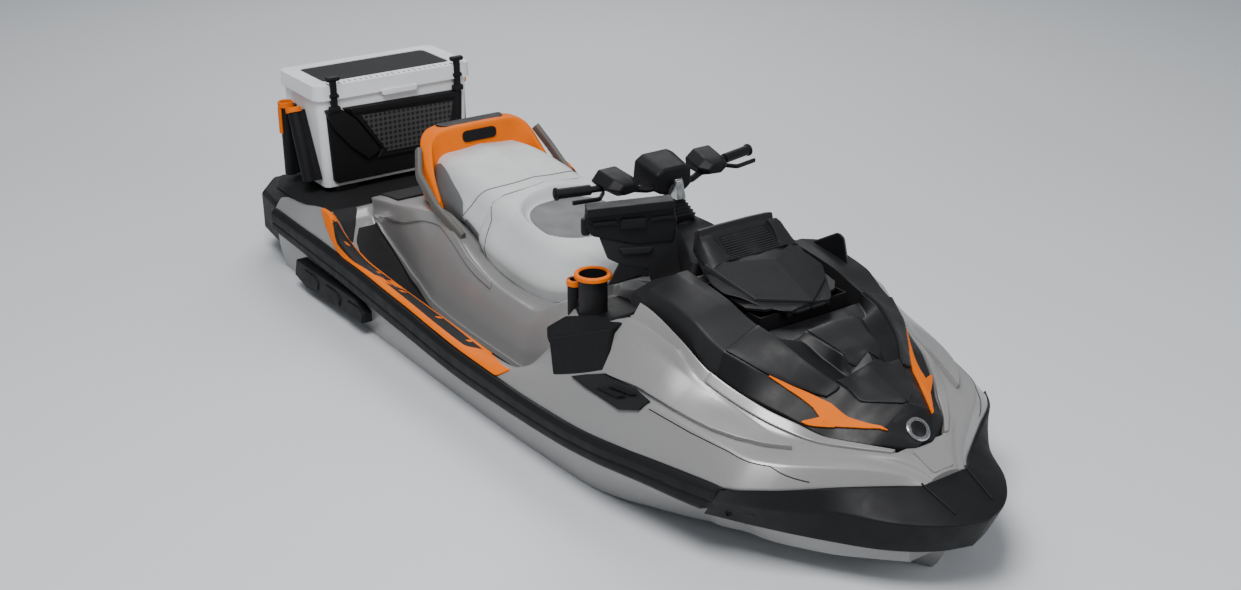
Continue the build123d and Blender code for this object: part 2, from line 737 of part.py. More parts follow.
pod_plane = Plane(origin=(392, 0, 842), x_dir=(0, 1, 0), z_dir=(-0.55, 0, 0.835))
with BuildPart() as gauge_pod:
    with BuildSketch(pod_plane.offset(-60)):
        RectangleRounded(120, 80, 30)
    with BuildSketch(pod_plane.offset(-12)):
        RectangleRounded(178, 112, 40)
    with BuildSketch(pod_plane.offset(24)):
        RectangleRounded(164, 100, 36)
    loft(ruled=True)
    with BuildSketch(pod_plane.offset(18)):
        RectangleRounded(140, 78, 26)
    extrude(amount=10, mode=Mode.SUBTRACT)
    add(handlebar.part, mode=Mode.SUBTRACT)

# Fish-finder display on its moulded mount, starboard
DISPLAY_AT = (655, -305, 785)
DISPLAY_SIZE = (62, 262, 158)
with BuildPart() as display:
    with BuildSketch(Plane.YZ.offset(DISPLAY_AT[0] - 40)):
        with Locations((DISPLAY_AT[1], DISPLAY_AT[2])):
            RectangleRounded(DISPLAY_SIZE[1], DISPLAY_SIZE[2], 16)
    extrude(amount=26)
    with BuildSketch(Plane.YZ.offset(DISPLAY_AT[0] - 14)):
        with Locations((DISPLAY_AT[1], DISPLAY_AT[2])):
            RectangleRounded(DISPLAY_SIZE[1] - 14, DISPLAY_SIZE[2] - 12, 16)
    extrude(amount=36, taper=22)

with BuildPart() as display_mount:
    with BuildSketch(Plane.XY.offset(540)):
        with Locations((772, -302)):
            RectangleRounded(170, 120, 40)
    with BuildSketch(Plane.XY.offset(676)):
        with Locations((722, -302)):
            RectangleRounded(84, 80, 30)
    loft(ruled=True)
    with BuildSketch(Plane.XZ.offset(302 - 36)):
        with BuildLine():
            Polyline((690, 668), (760, 668), (712, 812), (668, 812), (668, 760), close=True)
        make_face()
    extrude(amount=72)
    add(display.part, mode=Mode.SUBTRACT)
    add(deck_form.part, mode=Mode.SUBTRACT)
    add(hood.part, mode=Mode.SUBTRACT)

# Mirror on the port shoulder
with BuildPart() as mirror:
    with BuildSketch(Plane.XY.offset(560)):
        with Locations((862, 306)):
            RectangleRounded(150, 74, 30)
    with BuildSketch(Plane.XY.offset(650)):
        with Locations((862, 312)):
            RectangleRounded(120, 104, 30)
    with BuildSketch(Plane.XY.offset(716)):
        with Locations((878, 316)):
            RectangleRounded(70, 74, 20)
    loft(ruled=True)
    add(deck_form.part, mode=Mode.SUBTRACT)
    add(hood.part, mode=Mode.SUBTRACT)

# Cup holder in its pocket and rod clip on the starboard shoulder
with BuildPart() as cup_holder:
    with BuildSketch(Plane.XY.offset(CUP_Z[0])):
        with Locations(CUP_AT):
            Circle(CUP_R - 6)
    extrude(amount=CUP_Z[1] - CUP_Z[0])
    with BuildSketch(Plane.XY.offset(CUP_Z[1] - 16)):
        with Locations(CUP_AT):
            Circle(CUP_R)
    extrude(amount=16)
    with BuildSketch(Plane.XY.offset(CUP_Z[1] - 100)):
        with Locations(CUP_AT):
            Circle(CUP_BORE_R)
    extrude(amount=110, mode=Mode.SUBTRACT)

with BuildPart() as rod_clip:
    with BuildSketch(Plane.XY.offset(440)):
        with Locations(CLIP_AT):
            Circle(CLIP_R)
    extrude(amount=122)
    with BuildSketch(Plane.XY.offset(540)):
        with Locations(CLIP_AT):
            Circle(CLIP_BORE_R)
        with Locations((CLIP_AT[0], CLIP_AT[1] - CLIP_R + 1)):
            Rectangle(CLIP_BORE_R - 1, 2 * CLIP_R - 2)
    extrude(amount=30, mode=Mode.SUBTRACT)
    add(deck_form.part, mode=Mode.SUBTRACT)

# Panels that follow the deck's side: a thin skin over the deck, cut to each outline
with BuildPart() as deck_skin:
    for row in [r for r in DECK if 100 <= r.x <= 1300]:
        with BuildSketch(Plane.YZ.offset(row.x)):
            with BuildLine():
                Polyline(*both_sides(deck_half(row)), close=True)
            make_face()
            offset(amount=5, kind=Kind.INTERSECTION)
    loft(ruled=True)

KNEE_PANEL = [(380, 300), (470, 292), (770, 420), (786, 540), (640, 470), (420, 402)]
SIDE_VENT = [(690, 318), (980, 330), (1030, 352), (1010, 388), (720, 386)]
with BuildPart() as knee_panels:
    with BuildSketch(Plane.XZ):
        with BuildLine():
            Polyline(*KNEE_PANEL, close=True)
        make_face()
    extrude(amount=700, both=True)
    add(deck_skin.part, mode=Mode.INTERSECT)
    with BuildSketch(Plane.XY):
        Rectangle(3000, 680)
    extrude(amount=1000, mode=Mode.SUBTRACT)
    add(deck_form.part, mode=Mode.SUBTRACT)

with BuildPart() as side_vents:
    with BuildSketch(Plane.XZ):
        with BuildLine():
            Polyline(*SIDE_VENT, close=True)
        make_face()
    extrude(amount=700, both=True)
    add(deck_skin.part, mode=Mode.INTERSECT)
    with BuildSketch(Plane.XY):
        Rectangle(3000, 800)
    extrude(amount=1000, mode=Mode.SUBTRACT)
    add(deck_form.part, mode=Mode.SUBTRACT)

# Sponsons low on each side of the hull
SPONSON = [(-1250, 60), (-1225, 135), (-700, 142), (-630, 110), (-650, 60), (-1150, 36)]
with BuildPart() as sponsons:
    for side in (1, -1):
        with BuildSketch(Plane.XZ.offset(-side * 520)):
            with BuildLine():
                Polyline(*SPONSON, close=True)
            make_face()
        extrude(amount=-side * 94)
    add(hull.part, mode=Mode.SUBTRACT)
    add(deck_form.part, mode=Mode.SUBTRACT)

# Jet drive: grate, ride plate, pump, shaft, impeller, nozzle, reverse bucket
with BuildPart() as intake_grate:
    with BuildSketch(Plane.XY.offset(-258)):
        with Locations((TUNNEL_FRONT_X + 165, 0)):
            Rectangle(326, 2 * DUCT_HALF - 2 * FIT)
            Rectangle(302, 2 * DUCT_HALF - 24, mode=Mode.SUBTRACT)
            with GridLocations(0, 36, 1, 3):
                Rectangle(310, 10)
    extrude(amount=20)
    add(hull.part, mode=Mode.SUBTRACT)

with BuildPart() as ride_plate:
    with BuildSketch(Plane.YZ.offset(TRANSOM_X - 40)):
        with BuildLine():
            edge = TUNNEL_HALF - FIT
            Polyline((edge, -216), (0, -250), (-edge, -216), (-edge, -228), (0, -262), (edge, -228), close=True)
        make_face()
    extrude(amount=TUNNEL_FRONT_X - TRANSOM_X + 40 - GAP)

with BuildPart() as pump_housing:
    with BuildSketch(Plane.XZ):
        with BuildLine():
            Polyline(
                (TUNNEL_FRONT_X, JET_Z + PUMP_BORE_R),
                (TUNNEL_FRONT_X, JET_Z + PUMP_R + 8),
                (TUNNEL_FRONT_X - 14, JET_Z + PUMP_R + 8),
                (TUNNEL_FRONT_X - 14, JET_Z + PUMP_R - 6),
                (PUMP_REAR_X, JET_Z + PUMP_R - 6),
                (NECK_X, JET_Z + VENTURI_R),
                (VENTURI_X, JET_Z + VENTURI_R),
                (VENTURI_X, JET_Z + VENTURI_BORE_R),
                (NECK_X, JET_Z + VENTURI_BORE_R),
                (PUMP_REAR_X, JET_Z + PUMP_BORE_R - 2),
                (PUMP_REAR_X + 40, JET_Z + PUMP_BORE_R),
                close=True,
            )
        make_face()
    revolve(axis=Axis((0, 0, JET_Z), (1, 0, 0)))
    stator_x = IMPELLER_X[0] - 20
    with BuildSketch(Plane.YZ.offset(stator_x)):
        with Locations((0, JET_Z)):
            Circle(IMPELLER_HUB_R)
            with PolarLocations(0, STATOR_VANES):
                with Locations((PUMP_BORE_R / 2, 0)):
                    Rectangle(PUMP_BORE_R + 4, 7)
            Circle(SHAFT_R + FIT, mode=Mode.SUBTRACT)
    extrude(amount=-90)
    lug_length = PUMP_REAR_X - NOZZLE_AXIS_X + 44
    lug_x = NOZZLE_AXIS_X - 14 + lug_length / 2
    for side in (1, -1):
        with BuildSketch(Plane.XY.offset(JET_Z + side * 84)):
            with Locations((lug_x, 0)):
                Rectangle(lug_length, 36)
        extrude(amount=side * 10)
        with BuildSketch(Plane.XY.offset(JET_Z + side * 60)):
            with Locations((NOZZLE_AXIS_X, 0)):
                Circle(NOZZLE_PIN_R)
        extrude(amount=side * 30)
        with BuildSketch(Plane.XZ.offset(-side * 84)):
            with Locations((lug_x, JET_Z)):
                Rectangle(lug_length, 34)
        extrude(amount=-side * 10)
        with BuildSketch(Plane.XZ.offset(-side * 84)):
            with Locations((NOZZLE_AXIS_X, JET_Z)):
                Circle(BUCKET_PIN_R)
        extrude(amount=-side * (BUCKET_ARM_Y - 84 + 10))

with BuildPart() as drive_shaft:
    with BuildSketch(Plane.YZ.offset(stator_x - 70)):
        with Locations((0, JET_Z)):
            Circle(SHAFT_R)
    engine_rear_x = (sum(BAY_X) - ENGINE_SIZE[0]) / 2
    extrude(amount=engine_rear_x - MOVE_GAP - stator_x + 70)

with BuildPart() as impeller:
    with BuildSketch(Plane.YZ.offset(IMPELLER_X[0])):
        with Locations((0, JET_Z)):
            Circle(IMPELLER_HUB_R)
    extrude(amount=IMPELLER_X[1] - IMPELLER_X[0] + 30, taper=8)
    for index in range(BLADES):
        turn = 360 / BLADES * index
        for step in range(3):
            station = (IMPELLER_X[0] + 4 + step * 36, 0, JET_Z)
            with BuildSketch(Plane(origin=station, x_dir=(0, 1, 0), z_dir=(1, 0, 0))):
                with Locations(Rotation(0, 0, turn + step * 34)):
                    with Locations((PUMP_BORE_R / 2 + 8, 0)):
                        Rectangle(PUMP_BORE_R - 28, 8)
        loft(ruled=True)
    with BuildSketch(Plane.YZ.offset(IMPELLER_X[0] - 10)):
        with Locations((0, JET_Z)):
            Circle(SHAFT_R)
    extrude(amount=200, mode=Mode.SUBTRACT)

with BuildPart() as nozzle:
    with BuildSketch(Plane.XZ):
        with BuildLine():
            Polyline(
                (NOZZLE_FRONT_X, JET_Z + 67),
                (NOZZLE_FRONT_X, JET_Z + 67 + NOZZLE_WALL),
                (NOZZLE_REAR_X, JET_Z + 48 + NOZZLE_WALL),
                (NOZZLE_REAR_X, JET_Z + 48),
                close=True,
            )
        make_face()
    revolve(axis=Axis((0, 0, JET_Z), (1, 0, 0)))
    for side in (1, -1):
        with BuildSketch(Plane.XY.offset(JET_Z + side * 66)):
            with Locations((NOZZLE_AXIS_X, 0)):
                Circle(20)
        extrude(amount=side * 12)
        with BuildSketch(Plane.XY.offset(JET_Z + side * 50)):
            with Locations((NOZZLE_AXIS_X, 0)):
                Circle(NOZZLE_PIN_R + FIT)
        extrude(amount=side * 40, mode=Mode.SUBTRACT)

with BuildPart() as reverse_bucket:
    with BuildSketch(Plane.XZ):
        with BuildLine():
            CenterArc((NOZZLE_AXIS_X, JET_Z), BUCKET_R + BUCKET_WALL, 75, 72)
            CenterArc((NOZZLE_AXIS_X, JET_Z), BUCKET_R, 75, 72)
            for turn in (75, 147):
                c = math.cos(math.radians(turn))
                s = math.sin(math.radians(turn))
                Line(
                    (NOZZLE_AXIS_X + BUCKET_R * c, JET_Z + BUCKET_R * s),
                    (NOZZLE_AXIS_X + (BUCKET_R + BUCKET_WALL) * c, JET_Z + (BUCKET_R + BUCKET_WALL) * s),
                )
        make_face()
    extrude(amount=BUCKET_ARM_Y + 8, both=True)
    for side in (1, -1):
        with BuildSketch(Plane.XZ.offset(-side * BUCKET_ARM_Y)):
            with BuildLine():
                low = math.radians(82)
                high = math.radians(140)
                reach = BUCKET_R + 2
                Polyline(
                    (NOZZLE_AXIS_X + 20, JET_Z - 8),
                    (NOZZLE_AXIS_X + reach * math.cos(low), JET_Z + reach * math.sin(low)),
                    (NOZZLE_AXIS_X + reach * math.cos(high), JET_Z + reach * math.sin(high)),
                    (NOZZLE_AXIS_X - 16, JET_Z - 14),
                    close=True,
                )
            make_face()
            with Locations((NOZZLE_AXIS_X, JET_Z)):
                Circle(BUCKET_PIN_R + FIT, mode=Mode.SUBTRACT)
        extrude(amount=-side * 8)

# Cooler on its mount, with lid, latches, pocket and rod holders
with BuildPart() as cooler_mount:
    with BuildSketch(Plane.XY.offset(PLATFORM_Z + MAT_T)):
        with Locations((sum(COOLER_X) / 2, 0)):
            with GridLocations(0, 480, 1, 2):
                RectangleRounded(COOLER_X[1] - COOLER_X[0] - 30, 110, 20)
    extrude(amount=COOLER_LOW_Z - PLATFORM_Z - MAT_T)

with BuildPart() as cooler_body:
    with BuildSketch(Plane.XY.offset(COOLER_TOP_Z)):
        with Locations((sum(COOLER_X) / 2, 0)):
            RectangleRounded(COOLER_X[1] - COOLER_X[0], 2 * COOLER_HALF, 40)
    extrude(amount=COOLER_LOW_Z - COOLER_TOP_Z, taper=2)
    with BuildSketch(Plane.XY.offset(COOLER_TOP_Z)):
        with Locations((sum(COOLER_X) / 2, 0)):
            RectangleRounded(COOLER_X[1] - COOLER_X[0] - 2 * COOLER_WALL, 2 * COOLER_HALF - 2 * COOLER_WALL, 20)
    extrude(amount=COOLER_LOW_Z - COOLER_TOP_Z + COOLER_WALL, taper=2, mode=Mode.SUBTRACT)
    with BuildSketch(Plane.XZ):
        with Locations((COOLER_X[0] - COOLER_HINGE_BACK, COOLER_TOP_Z - 16)):
            Circle(10)
        with Locations((COOLER_X[0] - COOLER_HINGE_BACK / 2 + 2, COOLER_TOP_Z - 28)):
            Rectangle(COOLER_HINGE_BACK + 12, 30)
    extrude(amount=200, both=True)
    with BuildSketch(Plane.XZ):
        with Locations((COOLER_X[0] - COOLER_HINGE_BACK - GAP / 2, COOLER_TOP_Z - 20)):
            Rectangle(2 * COOLER_HINGE_BACK, 60)
    extrude(amount=146, both=True, mode=Mode.SUBTRACT)
    with BuildSketch(Plane.XZ):
        with Locations((COOLER_X[0] - COOLER_HINGE_BACK, COOLER_TOP_Z - 16)):
            Circle(COOLER_PIN_R)
    extrude(amount=170, both=True)

with BuildPart() as cooler_lid:
    with BuildSketch(Plane.XY.offset(COOLER_TOP_Z + GAP)):
        with Locations((sum(COOLER_X) / 2 + 3, 0)):
            RectangleRounded(
                COOLER_X[1] - COOLER_X[0] + COOLER_LID_LIP + 6, 2 * (COOLER_HALF + COOLER_LID_LIP), 46
            )
    extrude(amount=COOLER_LID_H, taper=3)
    with BuildSketch(Plane.XY.offset(COOLER_TOP_Z + GAP + COOLER_LID_H - 8)):
        with Locations((sum(COOLER_X) / 2, 0)):
            RectangleRounded(250, 590, 24)
    extrude(amount=10, mode=Mode.SUBTRACT)
    with BuildSketch(Plane.XZ):
        with Locations((COOLER_X[0] - COOLER_HINGE_BACK, COOLER_TOP_Z - 16)):
            Circle(COOLER_PIN_R + 5)
        with Locations((COOLER_X[0] - COOLER_HINGE_BACK + 2, COOLER_TOP_Z + 4)):
            Rectangle(16, 36)
        with Locations((COOLER_X[0] - COOLER_HINGE_BACK, COOLER_TOP_Z - 16)):
            Circle(COOLER_PIN_R + FIT, mode=Mode.SUBTRACT)
    extrude(amount=140, both=True)
    with BuildSketch(Plane.XZ):
        with Locations((COOLER_X[0] - COOLER_HINGE_BACK, COOLER_TOP_Z - 22)):
            Rectangle(40, 44)
    extrude(amount=90, both=True, mode=Mode.SUBTRACT)

with BuildPart() as lid_pad:
    with BuildSketch(Plane.XY.offset(COOLER_TOP_Z + GAP + COOLER_LID_H - 8)):
        with Locations((sum(COOLER_X) / 2, 0)):
            RectangleRounded(250 - 2 * GAP, 590 - 2 * GAP, 23)
    extrude(amount=6)

latch_x = COOLER_X[1] + COOLER_LID_LIP / 2 + 2
with BuildPart() as cooler_latches:
    for side in (1, -1):
        with BuildSketch(Plane.YZ.offset(latch_x)):
            with Locations((side * 290, COOLER_TOP_Z + 22)):
                Rectangle(34, 108)
            with Locations((side * 290, COOLER_TOP_Z + 82)):
                RectangleRounded(64, 30, 10)
            with Locations((side * 290, COOLER_TOP_Z - 34)):
                RectangleRounded(56, 26, 10)
        extrude(amount=20)
    add(cooler_lid.part, mode=Mode.SUBTRACT)
    add(cooler_body.part, mode=Mode.SUBTRACT)

with BuildPart() as mesh_pocket:
    with BuildSketch(Plane.YZ.offset(COOLER_X[1] - 30)):
        with Locations((0, 480)):
            RectangleRounded(470, 230, 30)
    extrude(amount=44)
    with BuildSketch(Plane.YZ.offset(COOLER_X[1] + 4)):
        with Locations((0, 480)):
            RectangleRounded(430, 190, 20)
    extrude(amount=20, mode=Mode.SUBTRACT)
    add(cooler_body.part, mode=Mode.SUBTRACT)

ROD_Y = COOLER_HALF + COOLER_LID_LIP + ROD_TUBE_R + 2
RodRow = namedtuple("RodRow", "x y z lean")
RODS = [
    RodRow(-1712, -ROD_Y, 318, 0),
    RodRow(-1532, -ROD_Y, 330, 20),
    RodRow(-1640, ROD_Y, 318, 0),
]
with BuildPart() as rod_holders:
    for row in RODS:
        lean = math.radians(row.lean)
        tube = Plane(origin=(row.x, row.y, row.z), x_dir=(0, 1, 0), z_dir=(-math.sin(lean), 0, math.cos(lean)))
        with BuildSketch(tube):
            Circle(ROD_TUBE_R)
            with Locations((-math.copysign(30, row.y), 0)):
                Rectangle(60, 30)
        extrude(amount=ROD_TUBE_LENGTH)
        with BuildSketch(tube.offset(20)):
            Circle(ROD_BORE_R)
        extrude(amount=ROD_TUBE_LENGTH, mode=Mode.SUBTRACT)
    add(cooler_body.part, mode=Mode.SUBTRACT)

# Eyes for mooring and drain plugs
with BuildPart() as bow_eye:
    with BuildSketch(Plane(origin=(1712, 0, 100 + 20), x_dir=(1, 0, 0), z_dir=(0, 0, 1))):
        with Locations((24, 0)):
            Circle(6)
    revolve(axis=Axis((1712, 0, 120), (0, 1, 0)))
    add(hull.part, mode=Mode.SUBTRACT)
    add(bow_bumper.part, mode=Mode.SUBTRACT)

with BuildPart() as stern_eyes:
    for side in (1, -1):
        with BuildSketch(Plane(origin=(TRANSOM_X, side * 380, 40), x_dir=(1, 0, 0), z_dir=(0, 1, 0))):
            with Locations((-24, 0)):
                Circle(6)
        revolve(axis=Axis((TRANSOM_X, side * 380, 40), (0, 0, 1)))
    add(hull.part, mode=Mode.SUBTRACT)

PIECES = {
    "hull": hull,
    "deck": deck,
    "foredeck": foredeck,
    "rub_rails": rub_rails,
    "bow_bumper": bow_bumper,
    "stern_extension": stern_extension,
    "boarding_step": boarding_step,
    "step_hinge": step_hinge,
    "rear_mat": rear_mat,
    "footwell_mats": footwell_mats,
    "side_trims": side_trims,
    "seat_cushion": seat_cushion,
    "seat_handle": seat_handle,
    "grab_bars": grab_bars,
    "engine": engine,
    "hood": hood,
    "storage_bin": storage_bin,
    "storage_lid": storage_lid,
    "console": console,
    "handlebar": handlebar,
    "grips": grips,
    "control_housings": control_housings,
    "hand_levers": hand_levers,
    "gauge_pod": gauge_pod,
    "display": display,
    "display_mount": display_mount,
    "mirror": mirror,
    "cup_holder": cup_holder,
    "rod_clip": rod_clip,
    "knee_panels": knee_panels,
    "side_vents": side_vents,
    "sponsons": sponsons,
    "intake_grate": intake_grate,
    "ride_plate": ride_plate,
    "pump_housing": pump_housing,
    "drive_shaft": drive_shaft,
    "impeller": impeller,
    "nozzle": nozzle,
    "reverse_bucket": reverse_bucket,
    "cooler_mount": cooler_mount,
    "cooler_body": cooler_body,
    "cooler_lid": cooler_lid,
    "lid_pad": lid_pad,
    "cooler_latches": cooler_latches,
    "mesh_pocket": mesh_pocket,
    "rod_holders": rod_holders,
    "bow_eye": bow_eye,
    "stern_eyes": stern_eyes,
}
for name, piece in PIECES.items():
    piece.part.label = name
    export_step(piece.part, f"parts/{name}.step")
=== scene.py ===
"""Looks for a long personal watercraft rigged for fishing: painted shells, mats, trims, seat and fittings."""

import json
import math

import bpy
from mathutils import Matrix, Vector


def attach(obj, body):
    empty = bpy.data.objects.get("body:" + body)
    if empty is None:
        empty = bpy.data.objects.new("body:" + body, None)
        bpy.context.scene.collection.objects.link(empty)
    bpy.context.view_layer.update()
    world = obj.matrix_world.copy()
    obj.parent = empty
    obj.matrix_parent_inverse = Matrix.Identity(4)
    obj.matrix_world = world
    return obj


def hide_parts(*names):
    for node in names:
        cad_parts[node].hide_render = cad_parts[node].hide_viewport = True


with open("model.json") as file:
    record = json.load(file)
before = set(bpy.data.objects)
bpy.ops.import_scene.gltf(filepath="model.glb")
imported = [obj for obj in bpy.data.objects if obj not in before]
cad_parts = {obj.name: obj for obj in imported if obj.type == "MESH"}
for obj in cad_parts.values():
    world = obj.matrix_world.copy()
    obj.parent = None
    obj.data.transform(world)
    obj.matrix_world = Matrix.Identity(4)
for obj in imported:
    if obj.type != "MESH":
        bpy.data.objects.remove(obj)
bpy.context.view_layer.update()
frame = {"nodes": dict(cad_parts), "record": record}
NODES = frame["nodes"]
BODIES = frame["record"]["behaviour"]["bodies"]

# Lengths are in mm, with x to the bow, y to port and z up from the waterline
MM = 0.001
SIDES = (1, -1)
AXIS_X, AXIS_Y = 0, 1
MERGE = 0.02
SHELL_ANGLE = 30


class Sock:
    """A node's output, with arithmetic that adds Math nodes."""

    def __init__(self, finish, out):
        self.finish = finish
        self.out = out

    def math(self, operation, a, b):
        return self.finish.node("ShaderNodeMath", {"operation": operation}, {0: a, 1: b})

    def __add__(self, other):
        return self.math("ADD", self, other)

    __radd__ = __add__

    def __sub__(self, other):
        return self.math("SUBTRACT", self, other)

    def __rsub__(self, other):
        return self.math("SUBTRACT", other, self)

    def __mul__(self, other):
        return self.math("MULTIPLY", self, other)

    __rmul__ = __mul__

    def __gt__(self, other):
        return self.math("GREATER_THAN", self, other)

    def __lt__(self, other):
        return self.math("LESS_THAN", self, other)


class Finish:
    """One material: constants go on the shader, and what varies comes from nodes."""

    def __init__(self, name, color, roughness, metallic=0.0, coat=0.0, **constants):
        self.mat = bpy.data.materials.new(name)
        self.mat.use_nodes = True
        self.tree = self.mat.node_tree
        self.shader = self.tree.nodes["Principled BSDF"]
        self.mat.diffuse_color = (*color, 1)
        self.put("Base Color", (*color, 1))
        self.put("Roughness", roughness)
        self.put("Metallic", metallic)
        self.put("Coat Weight", coat)
        for key, value in constants.items():
            self.put(key.replace("_", " ").title(), value)
        self.at = self.node("ShaderNodeTexCoord", out="Object")

    def node(self, kind, settings=None, sockets=None, out=0):
        made = self.tree.nodes.new(kind)
        for key, value in (settings or {}).items():
            setattr(made, key, value)
        for key, value in (sockets or {}).items():
            if isinstance(value, Sock):
                self.tree.links.new(value.out, made.inputs[key])
            else:
                made.inputs[key].default_value = value
        return Sock(self, made.outputs[out])

    def put(self, name, value):
        if isinstance(value, Sock):
            self.tree.links.new(value.out, self.shader.inputs[name])
        else:
            self.shader.inputs[name].default_value = value

    def noise(self, scale, detail=3.0):
        return self.node("ShaderNodeTexNoise", None, {"Vector": self.at, "Scale": scale, "Detail": detail})

    def axis(self, name):
        return self.node("ShaderNodeSeparateXYZ", None, {0: self.at}, name)

    def wave(self, value, pitch):
        """A triangle wave of the value, from 0 to 1."""
        return self.node("ShaderNodeMath", {"operation": "PINGPONG"}, {0: value * (2.0 / pitch), 1: 1.0})

    def mix(self, factor, a, b):
        return self.node("ShaderNodeMix", {"data_type": "RGBA"}, {0: factor, 6: (*a, 1), 7: (*b, 1)}, 2)

    def vary(self, value, to_low, to_high):
        """The middle of a noise's range, spread between two values."""
        reach = {"Value": value, "From Min": 0.3, "From Max": 0.7, "To Min": to_low, "To Max": to_high}
        return self.node("ShaderNodeMapRange", None, reach)

    def bump(self, height, strength, distance):
        relief = {"Height": height, "Strength": strength, "Distance": distance}
        self.put("Normal", self.node("ShaderNodeBump", None, relief))


def shade(color, factor):
    return tuple(min(1.0, c * factor) for c in color)


def paint(name, color):
    """Metallic gel coat: fine flake under a clear coat."""
    finish = Finish(name, color, 0.36, metallic=0.25, coat=0.45, coat_roughness=0.14)
    flake = finish.node("ShaderNodeTexVoronoi", None, {"Vector": finish.at, "Scale": 1200.0}, "Color")
    tone = finish.node("ShaderNodeSeparateColor", None, {0: flake})
    finish.put("Base Color", finish.mix(tone, shade(color, 0.9), shade(color, 1.1)))
    finish.put("Roughness", finish.vary(finish.noise(3.0), 0.32, 0.40))
    return finish


def grained(name, color, roughness, scale, depth, shine=0.22):
    """Moulded plastic or rubber: fine grain, uneven sheen and slightly uneven colour."""
    finish = Finish(name, color, roughness)
    finish.put("Specular IOR Level", shine)
    finish.put("Base Color", finish.mix(finish.noise(6.0), shade(color, 0.82), shade(color, 1.18)))
    finish.put("Roughness", finish.vary(finish.noise(19.0), roughness - 0.06, roughness + 0.07))
    finish.bump(finish.noise(scale, 4.0), 0.35, depth)
    return finish


def metal(name, color, roughness):
    """Bare metal with fine streaks."""
    finish = Finish(name, color, roughness, metallic=1.0)
    streak = finish.noise(60.0, 6.0)
    finish.put("Base Color", finish.mix(streak, shade(color, 0.85), shade(color, 1.1)))
    finish.put("Roughness", finish.vary(streak, roughness - 0.08, roughness + 0.1))
    return finish


def foam_mat():
    """Closed-cell foam with a diamond emboss."""
    pitch, groove = 0.030, 0.14
    finish = Finish("foam_mat", (0.010, 0.010, 0.011), 0.72)
    finish.put("Specular IOR Level", 0.2)
    finish.put("Base Color", finish.mix(finish.noise(9.0), (0.012, 0.012, 0.013), (0.019, 0.019, 0.020)))
    one_way = finish.wave(finish.axis("X") + finish.axis("Y"), pitch)
    other_way = finish.wave(finish.axis("X") - finish.axis("Y"), pitch)
    finish.bump((one_way > groove) * (other_way > groove) + 0.15 * finish.noise(500.0), 0.6, 0.0012)
    return finish


def perforated():
    """A dark sheet with rows of round holes, the holes painted near black as painted shade for the dark seen
    through them.
    """
    hole_size = 0.36
    finish = Finish("perforated_panel", (0.020, 0.020, 0.021), 0.55)
    cells = {"Vector": finish.at, "Scale": 46.0, "Randomness": 0.0}
    hole = finish.node("ShaderNodeTexVoronoi", None, cells, "Distance")
    # Near black inside each hole is painted shade for the dark seen through the opening; the sheet around the
    # holes keeps its own dark grey
    finish.put("Base Color", finish.mix(hole < hole_size, (0.045, 0.045, 0.046), (0.003, 0.003, 0.003)))
    finish.bump(hole > hole_size, 0.8, 0.002)
    return finish


GREY = paint("grey_gel_coat", (0.295, 0.29, 0.287))
RUBBER = grained("black_rubber", (0.007, 0.007, 0.008), 0.55, 420.0, 0.0004)
BLACK = grained("black_grained_plastic", (0.006, 0.006, 0.007), 0.54, 700.0, 0.0003)
CHARCOAL = grained("charcoal_plastic", (0.015, 0.015, 0.016), 0.48, 800.0, 0.0002)
GLOSS = grained("gloss_black_plastic", (0.005, 0.005, 0.006), 0.46, 60.0, 0.00002, shine=0.3)
ORANGE = grained("orange_plastic", (0.88, 0.165, 0.0), 0.5, 600.0, 0.0001, shine=0.06)
SHELL = grained("cooler_shell", (0.78, 0.80, 0.81), 0.46, 300.0, 0.0003)
VINYL = grained("seat_vinyl", (0.56, 0.575, 0.575), 0.50, 500.0, 0.0004)
DARK_VINYL = grained("seat_side_vinyl", (0.13, 0.132, 0.134), 0.52, 500.0, 0.0004)
TAUPE = grained("grab_bar_plastic", (0.13, 0.125, 0.115), 0.42, 500.0, 0.0002)
STEEL = metal("stainless_steel", (0.58, 0.58, 0.58), 0.24)
ALLOY = metal("cast_alloy", (0.40, 0.41, 0.42), 0.46)
MAT = foam_mat()
MESH = perforated()


def deselect():
    bpy.ops.object.select_all(action="DESELECT")


def take(piece):
    deselect()
    piece.select_set(True)
    bpy.context.view_layer.objects.active = piece


def modify(piece, kind, **settings):
    """Adds one modifier, sets it and applies it."""
    modifier = piece.modifiers.new(kind.lower(), kind)
    for key, value in settings.items():
        setattr(modifier, key, value)
    take(piece)
    bpy.ops.object.modifier_apply(modifier=modifier.name)


def cut(piece, cutter):
    """Takes a block out of a piece."""
    modify(piece, "BOOLEAN", operation="DIFFERENCE", object=cutter, solver="EXACT")
    bpy.data.objects.remove(cutter)


def thicken(piece, thickness):
    modify(piece, "SOLIDIFY", thickness=thickness * MM, offset=0)


def round_edges(piece, width, segments=2, angle=28):
    limit = math.radians(angle)
    modify(piece, "BEVEL", width=width * MM, segments=segments, limit_method="ANGLE", angle_limit=limit)


def smooth(piece, angle=35.0):
    take(piece)
    bpy.ops.object.shade_smooth_by_angle(angle=math.radians(angle))


def crisp(piece):
    """Smooth shading that keeps the broad faces flat between rounded edges."""
    smooth(piece)
    modify(piece, "WEIGHTED_NORMAL", keep_sharp=True, weight=90)


def tidy_mesh(piece, flat=0.0):
    """Merges doubles, joins flat faces if asked, and turns every face outwards."""
    take(piece)
    bpy.ops.object.mode_set(mode="EDIT")
    bpy.ops.mesh.select_all(action="SELECT")
    bpy.ops.mesh.remove_doubles(threshold=MERGE * MM)
    if flat:
        bpy.ops.mesh.dissolve_limited(angle_limit=math.radians(flat))
    bpy.ops.mesh.normals_make_consistent(inside=False)
    bpy.ops.object.mode_set(mode="OBJECT")


